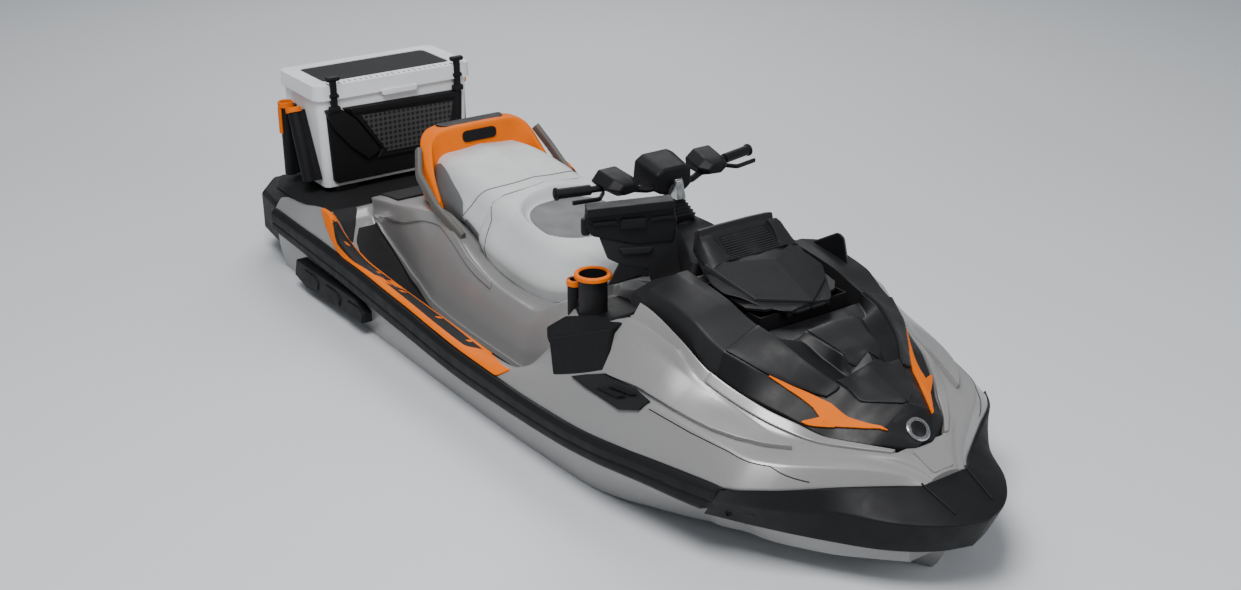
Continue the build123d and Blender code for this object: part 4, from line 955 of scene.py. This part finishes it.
# Hood stations: edge, band, ridge, groove, scoop, centre
HOOD = [
    (1130, 354, 486, 332, 556, 202, 606, 196, 575, 120, 574, 574),
    (1208, 336, 464, 298, 530, 196, 592, 150, 566, 98, 574, 574),
    (1214, 335, 462, 296, 528, 195, 590, 130, 568, 98, 588, 594),
    (1300, 305, 443, 236, 490, 174, 552, 100, 532, 78, 568, 574),
    (1345, 280, 428, 200, 472, 152, 526, 84, 512, 70, 556, 564),
    (1378, 262, 415, 178, 460, 128, 502, 80, 500, 62, 506, 556),
    (1414, 240, 396, 160, 450, 112, 486, 80, 489, 50, 501, 517),
    (1460, 208, 380, 140, 430, 100, 461, 70, 472, 40, 484, 494),
    (1500, 180, 380, 118, 422, 54, 462, 40, 468, 22, 474, 478),
    (1540, 152, 380, 96, 416, 6, 461, 4, 462, 2, 462.5, 463),
    (1550, 145, 380, 92, 412, 56, 427, 36, 433, 18, 437, 439),
    (1590, 86, 374, 58, 392, 38, 400, 24, 403, 10, 405, 406),
    (1618, 34, 362, 22, 370, 14, 374, 9, 376, 4, 377, 378),
]
HOOD_CORNER = 5
HOOD_SKIRT = 28
hood_line, hood = skin(HOOD, HOOD_CORNER, centre=True)


def hood_ring(x):
    line = hood_line(x)
    y, z = line[0]
    skirt = [(y * 0.9, z - HOOD_SKIRT), (y, z - HOOD_SKIRT + 4)]
    return mirrored([(0, z - HOOD_SKIRT)] + rounded(skirt + line, HOOD_CORNER)[:-1] + [line[-1]])


def make_hood():
    shell = loft("hood_shell", [(x, hood_ring(x)) for x in stations(HOOD, 7)], 24)
    for_node(shell, GLOSS, "hood")
    plates = [
        inlay("hood_side_plate", hood, [
            (1134, 1.03, 1.95), (1300, 1.05, 1.95), (1360, 1.12, 1.95), (1386, 1.2, 1.95), (1396, 1.7, 1.93),
        ], 3, 11, edge=3, curved=False),
        inlay("hood_front_plate", hood, [
            (1380, 2.1, 4.2), (1395, 2.1, 4.9), (1410, 2.1, 5), (1460, 2.1, 5), (1505, 2.1, 5),
            (1536, 2.1, 5),
        ], 2, 8, whole=True, across=10, edge=2.5, curved=False),
        inlay("hood_scoop_top", hood, [
            (1216, 4.06, 5), (1300, 4.06, 5), (1360, 4.06, 5), (1374, 4.3, 5),
        ], 1.5, 5, whole=True, edge=2),
    ]
    hand_over(join("hood_plates", plates), CHARCOAL, "craft")
    accents = [
        inlay("hood_accent", hood, [
            (1258, 1.0, 1.03), (1286, 0.92, 1.04), (1350, 0.72, 1.03), (1382, 0.62, 1.0), (1406, 0.48, 1.0),
            (1422, 0.34, 0.97), (1462, 0.5, 0.93), (1518, 0.74, 0.96), (1556, 1.0, 1.06),
        ], 4, 8, pitch=8, edge=1.5, curved=False),
        inlay("hood_accent_branch", hood, [
            (1386, 0.03, 0.1), (1398, 0.06, 0.3), (1410, 0.12, 0.5), (1422, 0.2, 0.5), (1450, 0.42, 0.6),
        ], 4, 8, pitch=6, edge=1.5, curved=False),
    ]
    hand_over(join("hood_accents", accents), ORANGE, "craft")


def make_nose_disc():
    """A blank steel disc with a dark face, on the hood's nose."""
    base, axis, sides = (1588, 0, 400), (0.62, 0, 0.78), 40
    rim = [(38, -10), (38, 5), (35, 8), (30, 8), (29, 6), (0.5, 6)]
    hand_over(turned("nose_disc", rim, base, axis, sides), STEEL, "craft")
    face = [(25, 5), (25, 8), (23, 9), (0.5, 9.5)]
    hand_over(turned("nose_disc_face", face, base, axis, sides), GLOSS, "craft")


# Hood shoulders beside the lid: outer foot, outer edge, top, inner edge and the height of the base
SHOULDER = [
    (800, 376, 590, 350, 642, 250, 668, 210, 668, 420),
    (1000, 365, 565, 346, 612, 240, 642, 210, 640, 410),
    (1080, 366, 506, 338, 574, 220, 618, 208, 616, 400),
    (1130, 354, 486, 332, 556, 212, 606, 206, 604, 395),
]
shoulder_at = track(SHOULDER)


def make_hood_shoulders():
    shoulders = []
    for side in SIDES:
        sections = []
        for x in steps(SHOULDER[0][0], SHOULDER[-1][0], 15):
            *values, low = shoulder_at(x)
            ring = [(values[0] - 4, low)] + rounded(pairs(values), 8) + [(values[-2], low)]
            sections.append((x, [(side * y, z) for y, z in ring]))
        shoulders.append(loft("hood_shoulder", sections, SHELL_ANGLE))
    hand_over(join("hood_shoulders", shoulders), CHARCOAL, "craft")


# Storage lid stations from the visor bar to the hinge: lower edge, upper edge, centre
LID = [
    (748, 150, 700, 140, 766, 768),
    (772, 156, 690, 146, 772, 775),
    (776, 158, 690, 146, 756, 757),
    (800, 170, 680, 152, 740, 742),
    (880, 194, 660, 150, 684, 702),
    (905, 200, 654, 140, 676, 698),
    (950, 200, 646, 120, 664, 688),
    (1000, 172, 640, 110, 650, 674),
    (1050, 142, 626, 100, 632, 650),
    (1110, 100, 618, 60, 622, 628),
    (1128, 78, 617, 46, 621, 625),
]
LID_CORNER = 7
lid_line, lid_top = skin(LID, LID_CORNER, centre=True)

# Brow of the lid: two roof planes that meet in a ridge and reach out over a dark mouth
BROW_FOOT = [(955, 0, 676), (850, 192, 656), (1020, 140, 622), (1118, 0, 618)]
BROW_LIP = [(958, 0, 700), (846, 184, 684), (1037, 142, 630), (1137, 0, 626)]
BROW_EDGE = [(961, 0, 713), (843, 179, 697), (1035, 138, 640), (1136, 0, 635)]
BROW_RIDGE = [(961, 0, 713), (961, 0, 713), (1070, 0, 664), (1136, 0, 635)]
HINGE_X, HINGE_Z = 1118, 606


def lid_ring(x):
    (low_y, low_z), (top_y, top_z), (_, centre) = lid_line(x)
    corners = [(low_y - 10, low_z - 12), (low_y, low_z), (top_y, top_z), (top_y * 0.45, centre)]
    return mirrored([(0, low_z - 12)] + rounded(corners, LID_CORNER) + [(0, centre)])


def make_lid():
    """The lid with its ribs, brow and hinge knuckles."""
    pieces = [loft("lid", [(x, lid_ring(x)) for x in stations(LID, 9)], 26)]
    for i in range(10):
        x, reach = 802 + 8.2 * i, 84 + 2.4 * i
        z = lid_top(x, 2)[1] + 4
        rib = [(x, z), (x + 4, z - 2), (x + 4, z - 10), (x, z - 10)]
        pieces.append(prism("rib", rib, AXIS_Y, -reach, reach, 0.8))
    rings = [both_sides(half) for half in (BROW_FOOT, BROW_LIP, BROW_EDGE, BROW_RIDGE)]
    pieces.append(gem("lid_brow", rings, 3, angle=12))
    barrel = arc((HINGE_X, HINGE_Z), 12, 0, 342, 19)
    web = [(HINGE_X + x, HINGE_Z + z) for x, z in ((-9, 0), (9, 0), (9, 16), (-9, 16))]
    for y in (-30, 30):
        pieces.append(prism("knuckle", barrel, AXIS_Y, y - 26, y + 26, 1.5))
        pieces.append(prism("web", web, AXIS_Y, y - 22, y + 22, 1))
    for_node(join("storage_lid_shell", pieces), CHARCOAL, "storage_lid")


def make_lid_trim():
    """The dark mouth under the brow, the ribs' dark bed, and cheeks beside the ribs."""
    outline = [(900, 0, 0), (900, 190, 20), (1040, 178, 0), (1082, 138, 0), (1098, 66, 0), (1112, 0, 0)]
    mouth = gem("lid_mouth", [
        both_sides([(x, y, level + z) for x, y, z in outline]) for level in (611, 621)
    ], 2)
    bed = inlay("lid_grille_bed", lid_top, [(790, 1.3, 2), (884, 1.42, 2)], 1, 5, whole=True)
    hand_over(join("lid_mouth", [mouth, bed]), GLOSS, "front_lid")
    cheeks = inlay("lid_cheeks", lid_top, [
        (782, 0.5, 1.24), (820, 0.42, 1.28), (850, 0.4, 1.34), (872, 0.6, 1.4),
    ], 5, 12, edge=2.5, curved=False)
    hand_over(cheeks, CHARCOAL, "front_lid")


# Seat stations: skirt, belly, shoulder, centre; a hollow in front takes the rider
SEAT = [
    (-862, 192, 440, 200, 470, 164, 590, 604),
    (-800, 214, 440, 224, 480, 178, 600, 616),
    (-700, 236, 442, 248, 490, 190, 602, 622),
    (-500, 252, 440, 266, 480, 202, 582, 603),
    (-345, 262, 404, 278, 446, 206, 560, 583),
    (-322, 270, 376, 292, 436, 220, 568, 592),
    (-200, 278, 346, 302, 420, 220, 552, 574),
    (-60, 276, 330, 302, 402, 216, 532, 554),
    (60, 262, 324, 288, 392, 206, 520, 540),
    (150, 225, 336, 250, 392, 180, 502, 516),
    (205, 160, 370, 180, 412, 135, 480, 490),
    (224, 118, 404, 128, 424, 98, 462, 470),
]
SEAT_CORNER = 42
SEAT_FINENESS = 30
seat_line, seat_side = skin(SEAT, SEAT_CORNER, centre=True)
HOLLOW_X, HOLLOW_LENGTH, HOLLOW_WIDTH, HOLLOW_DEPTH = -95, 193, 205, 44
HOLLOW_POWER, HOLLOW_WALL, HOLLOW_FLOOR = 2.6, 0.13, 0.83


def soft_step(value):
    value = clamp(value)
    return value * value * (3 - 2 * value)


def hollow_reach(x, y):
    """0 in the middle of the hollow and 1 at its rim."""
    spread = (abs(x - HOLLOW_X) / HOLLOW_LENGTH, abs(y) / HOLLOW_WIDTH)
    return sum(share ** HOLLOW_POWER for share in spread) ** (1 / HOLLOW_POWER)


def seat_ring(x):
    skirt, _, _, top = seat_line(x)
    bottom = top[1] - HOLLOW_DEPTH
    ring = [(0, skirt[1])]
    for i in range(3 * SEAT_FINENESS + 1):
        u = i / SEAT_FINENESS
        y, z = seat_side(x, u)
        if u > 1.5:
            z -= max(0, z - bottom) * soft_step((1 - hollow_reach(x, y)) / HOLLOW_WALL)
        ring.append((y, z))
    return mirrored(ring)


def make_seat():
    seat = loft("seat_shell", [(x, seat_ring(x)) for x in stations(SEAT, 7)], 50)
    for_node(seat, VINYL, "seat_cushion")


def make_seat_panels():
    """Darker vinyl on the hollow's floor and on the sides."""
    length, width = HOLLOW_LENGTH * HOLLOW_FLOOR, HOLLOW_WIDTH * HOLLOW_FLOOR
    rows = []
    for x in steps(HOLLOW_X - length, HOLLOW_X + length, 7):
        along = min(abs(x - HOLLOW_X) / length, 1)
        wide = max(width * (1 - along ** HOLLOW_POWER) ** (1 / HOLLOW_POWER), 4)
        z = seat_line(x)[3][1] - HOLLOW_DEPTH + 1
        rows.append([(x, wide * (i / 12 - 1), z) for i in range(25)])
    bottom = sheet("seat_hollow_floor", rows)
    thicken(bottom, 5)
    smooth(bottom, 40)
    panels = [
        bottom,
        inlay("seat_rear_side", seat_side, [
            (-820, 0.15, 1.5), (-762, 0.1, 1.84), (-600, 0.08, 1.55), (-500, 0.06, 1.3), (-478, 0.06, 1.0),
        ], 0.5, 6),
        inlay("seat_front_side", seat_side, [
            (-466, 0.06, 0.5), (-440, 0.06, 0.84), (-322, 0.06, 0.84),
        ], 0.5, 6),
    ]
    hand_over(join("seat_panels", panels), DARK_VINYL, "craft")


def make_seat_seams():
    routes = (
        [(-404, 3.0), (-408, 2.6), (-420, 2.2), (-430, 2.0), (-440, 1.6), (-446, 1.4), (-514, 0.05)],
        [(-338, 3.0), (-344, 2.6), (-350, 2.24), (-318, 1.8), (-286, 1.56), (-274, 1.04), (-298, 0.05)],
    )
    seams = [rod("seat_seam", trace(seat_side, route, side), 2.4) for side in SIDES for route in routes]
    hand_over(join("seat_seams", seams), DARK_VINYL, "craft")


# Horseshoe handle behind the seat: outer edge, inner edge and foot height along half its run
HANDLE = [
    (-640, 272, 470, -650, 256, 486, 440),
    (-690, 268, 520, -700, 248, 545, 440),
    (-750, 262, 575, -745, 232, 600, 440),
    (-830, 238, 655, -790, 205, 665, 450),
    (-885, 175, 688, -800, 160, 692, 470),
    (-900, 90, 694, -795, 80, 700, 600),
    (-900, 0, 694, -795, 0, 700, 600),
]
handle_at = track([(i, *row) for i, row in enumerate(HANDLE)])


def make_seat_handle():
    """The horseshoe, with a grip pad on its top and a blank pad on its front."""
    rows = []
    for i in steps(0, len(HANDLE) - 1, 0.125):
        out_x, out_y, out_z, in_x, in_y, in_z, low = handle_at(i)
        front = min(in_x + 8, HANDLE[0][0])
        ring = [(out_x, out_y, out_z), (in_x, in_y, in_z), (front, in_y * 0.97, low), (out_x, out_y, low)]
        rows.append(rounded(ring, 12, closed=True))
    horseshoe = sheet("seat_handle_shell", whole_grid(rows), ring=True, caps=True)
    smooth(horseshoe, 40)
    for_node(horseshoe, ORANGE, "seat_handle")
    grip = [(-882, -150), (-882, 150), (-826, 132), (-826, -132)]
    blank = [(-74, 634), (74, 634), (74, 678), (-74, 678)]
    pads = [
        gem("handle_pad", [rounded([(x, y, z) for x, y in grip], 22, closed=True) for z in (691, 699)], 2),
        gem("handle_label", [rounded(standing(x, blank), 20, closed=True) for x in (-797, -784)], 2),
    ]
    hand_over(join("handle_pads", pads), BLACK, "craft")


def make_hand_guards():
    """A faceted housing inboard of each grip."""
    back = standing(345, [(254, 835), (225, 868), (160, 868), (125, 842), (130, 808), (225, 806)])
    front = standing(424, [(244, 824), (215, 854), (150, 854), (118, 828), (128, 800), (205, 794)])
    nose = [(456, 178 + (y - 178) * 0.62, 822 + (z - 824) * 0.56) for _, y, z in front]
    guards = [gem("guard", [on_side(ring, side) for ring in (back, front, nose)], 5, 3) for side in SIDES]
    for_node(join("control_housing_shells", guards), BLACK, "control_housings")


def make_gauge_pod():
    """The pod with its blank screen, and the bright tab of the bar's clamp."""
    back = standing(340, [
        (-88, 800), (-80, 870), (-50, 888), (50, 888), (80, 870), (88, 800), (60, 778), (-60, 778),
    ])
    front = standing(455, [
        (-70, 790), (-70, 845), (-44, 860), (44, 860), (70, 845), (70, 790), (48, 774), (-48, 774),
    ])
    for_node(gem("gauge_pod_shell", [back, front], 9, 3), BLACK, "gauge_pod")
    screen = gem("pod_screen", [
        standing(342, [(-72, 806), (-66, 864), (66, 864), (72, 806)]),
        standing(336, [(-68, 810), (-62, 860), (62, 860), (68, 810)]),
    ], 2)
    hand_over(screen, GLOSS, "steering")
    tab = gem("bar_clamp_tab", [
        [(462, -22, 764), (462, 22, 764), (474, 16, 828), (474, -16, 828)],
        [(496, -18, 762), (496, 18, 762), (484, 13, 824), (484, -13, 824)],
    ], 3)
    hand_over(tab, STEEL, "steering")


def make_column_bellows():
    base, axis = (472, 0, 690), (-0.4226, 0, 0.9063)
    folds, pitch, taper = 5, 12, 5
    profile = [(50, -14)]
    for i in range(folds):
        profile += [(radius - taper * i, pitch * i + up) for radius, up in ((62, 0), (64, 5), (56, 9))]
    hand_over(turned("column_bellows", profile, base, axis, 36), RUBBER, "craft")


# Display's plane: its lower outboard corner, and the direction along it, level
DISPLAY_X, DISPLAY_Y = 580, -420
ALONG_X, ALONG_Y = 0.447, 0.894


def slab(name, outline, near, far, bevel):
    """A block in the display's plane: corners along and up, between two depths towards the bow."""
    rings = []
    for depth in (near, far):
        rings.append([
            (DISPLAY_X + ALONG_X * a + ALONG_Y * depth, DISPLAY_Y + ALONG_Y * a - ALONG_X * depth, z)
            for a, z in outline
        ])
    return gem(name, rings, bevel)


def make_display():
    case = [(-6, 841), (258, 855), (274, 786), (262, 722), (150, 718), (12, 752), (-12, 780)]
    pieces = [
        slab("display_case", case, -42, 0, 6),
        slab("display_brow", [(-8, 846), (260, 862), (262, 834), (-4, 818)], -46, 14, 4),
        slab("display_latch", [(96, 806), (176, 809), (176, 776), (96, 774)], -2, 12, 4),
        slab("display_rib", [(10, 800), (84, 804), (84, 792), (10, 788)], -2, 8, 2),
        slab("display_rib", [(188, 808), (262, 812), (262, 800), (188, 796)], -2, 8, 2),
        slab("display_knob", [(-22, 809), (6, 809), (6, 752), (-22, 752)], -34, -6, 9),
    ]
    for_node(join("display_shell", pieces), BLACK, "display")
    glass = [(4, 830), (248, 842), (256, 786), (246, 740), (148, 736), (22, 762)]
    hand_over(slab("display_screen", glass, -46, -38, 2), GLOSS, "craft")


def make_display_mount():
    """A panel with a rib behind the display, and a faceted wing at its foot."""
    panel = [
        (28, 758), (114, 727), (195, 725), (275, 767), (292, 592), (245, 548), (194, 592), (182, 633),
        (106, 648), (58, 674),
    ]
    wing_foot = [
        (679, -344, 556), (670, -247, 556), (741, -175, 560), (806, -164, 566),
        (859, -197, 566), (924, -260, 552), (845, -346, 548), (762, -359, 548),
    ]
    wing_top = [
        (690, -332, 596), (684, -250, 610), (742, -190, 640), (794, -180, 634),
        (838, -206, 616), (878, -256, 594), (828, -326, 586), (758, -340, 588),
    ]
    pieces = [
        slab("mount_panel", panel, -34, -6, 7),
        slab("mount_rib", [(90, 712), (200, 710), (186, 690), (104, 690)], -8, 4, 3),
        gem("mount_wing", [wing_foot, wing_top], 8, 3),
    ]
    for_node(join("display_mount_shell", pieces), CHARCOAL, "display_mount")


def make_mirror():
    """The mirror's faceted housing, on the port side."""
    inner = [(780, 636), (933, 725), (961, 713), (993, 603), (895, 611), (875, 625)]
    outer = [(745, 614), (880, 694), (906, 684), (938, 578), (850, 588), (832, 600)]
    rings = [[(x, y, z) for x, z in outline] for y, outline in ((280, inner), (338, outer))]
    for_node(gem("mirror_shell", rings, 8, 3), BLACK, "mirror")


def ring_band(name, inner, outer, low, high, base, axis=(0, 0, 1)):
    """A flat-topped ring round an axis."""
    edge = (outer - inner) * 0.25
    top = [(outer, high - edge), (outer - edge, high), (inner + edge, high), (inner, high - edge)]
    return turned(name, [(inner, low), (outer, low)] + top + [(inner, low)], base, axis, 36)


def make_orange_collars():
    """Collars on the cup holder, the clip and the rod holders, and a strip on one of those."""
    lean = math.radians(20)
    leaning = (-math.sin(lean), 0, math.cos(lean))
    collars = [
        ring_band("cup_collar", 44.5, 60, 128, 142, (532, -374, 468)),
        ring_band("clip_ring", 17.5, 29, 104, 122, (448, -384, 440)),
        ring_band("rod_collar", 21.5, 33, 296, 318, (-1712, -395, 318)),
        ring_band("rod_collar", 21.5, 33, 294, 316, (-1532, -395, 330), leaning),
        ring_band("rod_collar", 21.5, 33, 296, 318, (-1640, 395, 318)),
        box("rod_strip", (-1724, -429, 500), (-1700, -419, 612), 4),
    ]
    hand_over(join("orange_collars", collars), ORANGE, "craft")


# Cooler's front face, and the height of its lid's top
COOLER_FRONT = -1474
COOLER_TOP = 743


def front_plate(name, outline, back, proud, bevel, segments=2):
    """A plate on the cooler's front: (y, z) corners, from behind the face to how far it stands proud."""
    return prism(name, outline, AXIS_X, COOLER_FRONT - back, COOLER_FRONT + proud, bevel, segments)


def make_cooler_pocket():
    """Pocket frame with its bar and bracket, the apron behind them, and the perforated front."""
    frame_outline = [(-251, 638), (293, 630), (283, 509), (250, 396), (-112, 396), (-84, 434), (-190, 584)]
    bracket = [(-330, 640), (-262, 640), (-196, 584), (-96, 430), (-150, 400), (-230, 470), (-300, 560)]
    pocket = [
        front_plate("pocket_frame", frame_outline, 16, 12, 6, 3),
        front_plate("pocket_bar", [(-230, 636), (280, 628), (276, 604), (-214, 612)], -8, 22, 4),
        front_plate("side_bracket", bracket, 16, 18, 8, 3),
    ]
    for_node(join("mesh_pocket_shell", pocket), BLACK, "mesh_pocket")
    apron = [(-322, 624), (318, 622), (304, 330), (286, 316), (-286, 316), (-306, 330)]
    hand_over(front_plate("cooler_apron", apron, 30, 0, 6, 3), BLACK, "craft")
    perforations = [(-174, 596), (262, 587), (240, 480), (229, 421), (-64, 421)]
    hand_over(front_plate("pocket_mesh", perforations, -8, 17, 3), MESH, "craft")


def make_cooler_latches():
    """Rubber pull latches: strap, tee, foot and waist, as half width, back, proud, heights and edge."""
    shapes = (
        ("latch_strap", 14, 2, 18, 640, 770, 6),
        ("latch_tee", 30, 6, 22, 758, 778, 8),
        ("latch_foot", 24, 4, 24, 629, 654, 7),
        ("latch_waist", 20, 0, 22, 690, 706, 5),
    )
    latches = []
    for y in (-288, 290):
        for name, half, back, proud, low, high, bevel in shapes:
            corner = (COOLER_FRONT - back, y - half, low)
            latches.append(box(name, corner, (COOLER_FRONT + proud, y + half, high), bevel))
    for_node(join("cooler_latch_shells", latches), RUBBER, "cooler_latches")


def make_cooler_lid_trim():
    """The lid's lip and front rail, and the ticks of its measuring strip."""
    rail = [(-1526, COOLER_TOP - 4), (COOLER_FRONT, 735), (COOLER_FRONT, 741.5), (-1526, COOLER_TOP)]
    lip = [
        front_plate("lid_lip", [(-76, 690), (97, 690), (90, 664), (-68, 664)], 0, 18, 5),
        prism("lid_front_rail", rail, AXIS_Y, -340, 340, 2),
    ]
    hand_over(join("cooler_lid_lip", lip), SHELL, "cooler_top")
    ticks = []
    for i, y in enumerate(range(-300, 301, 25)):
        back = -1512 if i % 4 == 0 else -1500
        low, high = (back, y - 1.2, COOLER_TOP - 1), (-1480, y + 1.2, COOLER_TOP + 0.8)
        ticks.append(box("tick", low, high, 0.4, 1))
    hand_over(join("measuring_ticks", ticks), BLACK, "cooler_top")


def make_rear_step_mat():
    """The mat on the step behind the seat."""
    outline = [(-1028, 398), (-884, 419), (-884, 428), (-1028, 408)]
    hand_over(prism("rear_step_mat", outline, AXIS_Y, -318, 318, 2), MAT, "craft")


def make_sponson_steps():
    """Steps on the sponsons, and a tie-down hook on each side of the platform."""
    outline = [(0, 60), (120, 64), (130, 96), (96, 120), (6, 118)]
    hook = [(-1230, 262, 290), (-1230, 262, 324), (-1180, 262, 330), (-1180, 262, 290)]
    pieces = []
    for side in SIDES:
        for start in (-1150, -960, -770):
            corners = [(start + x, z) for x, z in outline]
            pieces.append(prism("sponson_step", corners, AXIS_Y, side * 598, side * 620, 5))
        pieces.append(rod("tie_hook", rounded(on_side(hook, side), 14), 6))
    hand_over(join("sponson_steps", pieces), BLACK, "craft")


# Solids that keep their form: node, finish and edge rounding
DRESSED = (
    ("stern_extension", BLACK, 12),
    ("boarding_step", STEEL, 1),
    ("step_hinge", STEEL, 0),
    ("rear_mat", MAT, 3),
    ("grab_bars", TAUPE, 3),
    ("storage_bin", BLACK, 1),
    ("console", BLACK, 8),
    ("handlebar", BLACK, 0),
    ("grips", RUBBER, 2),
    ("hand_levers", BLACK, 2),
    ("cup_holder", CHARCOAL, 2),
    ("rod_clip", BLACK, 3),
    ("sponsons", BLACK, 6),
    ("intake_grate", ALLOY, 1),
    ("ride_plate", ALLOY, 1),
    ("pump_housing", ALLOY, 1),
    ("drive_shaft", STEEL, 0),
    ("impeller", STEEL, 1),
    ("nozzle", ALLOY, 1),
    ("reverse_bucket", BLACK, 1),
    ("cooler_mount", BLACK, 3),
    ("cooler_body", SHELL, 5),
    ("cooler_lid", SHELL, 6),
    ("lid_pad", MAT, 1),
    ("rod_holders", BLACK, 2),
    ("bow_eye", STEEL, 0),
    ("stern_eyes", STEEL, 0),
    ("engine", ALLOY, 4),
)


def make_floor():
    """A pale studio floor at the waterline."""
    deselect()
    bpy.ops.mesh.primitive_plane_add(size=60)
    floor = bpy.context.object
    floor.name = "studio_floor"
    pale = Finish("pale_floor", (0.66, 0.68, 0.70), 0.55)
    pale.put("Base Color", pale.mix(pale.noise(0.6), (0.64, 0.66, 0.68), (0.68, 0.70, 0.72)))
    floor.data.materials.append(pale.mat)


def make_light():
    """Soft studio light: a cool sky and three broad lamps, in metres and watts."""
    world = bpy.data.worlds.new("studio")
    bpy.context.scene.world = world
    world.use_nodes = True
    sky = world.node_tree.nodes["Background"]
    sky.inputs["Color"].default_value = (0.88, 0.93, 1.0, 1)
    sky.inputs["Strength"].default_value = 0.30
    for name, place, aim, size, power in (
        ("key", (2.2, -2.6, 6.0), (0.2, 0, 0.3), 2.6, 430),
        ("front", (6.5, 2.5, 3.5), (0.6, 0, 0.3), 3.0, 110),
        ("rear", (-5.0, 3.0, 5.5), (-0.5, 0, 0.3), 4.0, 260),
    ):
        lamp = bpy.data.lights.new(name, "AREA")
        lamp.size = size
        lamp.energy = power
        holder = bpy.data.objects.new(name, lamp)
        holder.location = place
        holder.rotation_euler = (Vector(aim) - Vector(place)).to_track_quat("-Z", "Y").to_euler()
        bpy.context.collection.objects.link(holder)


# Photograph's view: camera place in metres, its heading and dip, and its focal length in pixels
PHOTO_WIDTH, FOCAL_PIXELS = 1241, 1563.2
CAMERA_PLACE = (4.2606, -2.9152, 2.4684)
CAMERA_YAW, CAMERA_DIP = math.radians(144.63), math.radians(23.22)


def make_camera():
    lens = bpy.data.cameras.new("view")
    lens.sensor_width = 36
    lens.lens = FOCAL_PIXELS / PHOTO_WIDTH * lens.sensor_width
    camera = bpy.data.objects.new("view", lens)
    camera.location = CAMERA_PLACE
    level = math.cos(CAMERA_DIP)
    ahead = Vector((level * math.cos(CAMERA_YAW), level * math.sin(CAMERA_YAW), -math.sin(CAMERA_DIP)))
    camera.rotation_euler = ahead.to_track_quat("-Z", "Y").to_euler()
    bpy.context.collection.objects.link(camera)
    bpy.context.scene.camera = camera


make_deck()
make_recess_lining()
make_hull()
make_rub_rails()
make_bumper()
make_bumper_fittings()
make_deck_panels()
make_deck_gaps()
make_gunwale_trims()
make_well_mats()
make_knee_boxes()
make_side_vents()
make_hood()
make_nose_disc()
make_hood_shoulders()
make_lid()
make_lid_trim()
make_seat()
make_seat_panels()
make_seat_seams()
make_seat_handle()
make_hand_guards()
make_gauge_pod()
make_column_bellows()
make_display()
make_display_mount()
make_mirror()
make_orange_collars()
make_cooler_pocket()
make_cooler_latches()
make_cooler_lid_trim()
make_rear_step_mat()
make_sponson_steps()
for node, finish, bevel in DRESSED:
    dress(node, finish, bevel)
make_floor()
make_light()
make_camera()
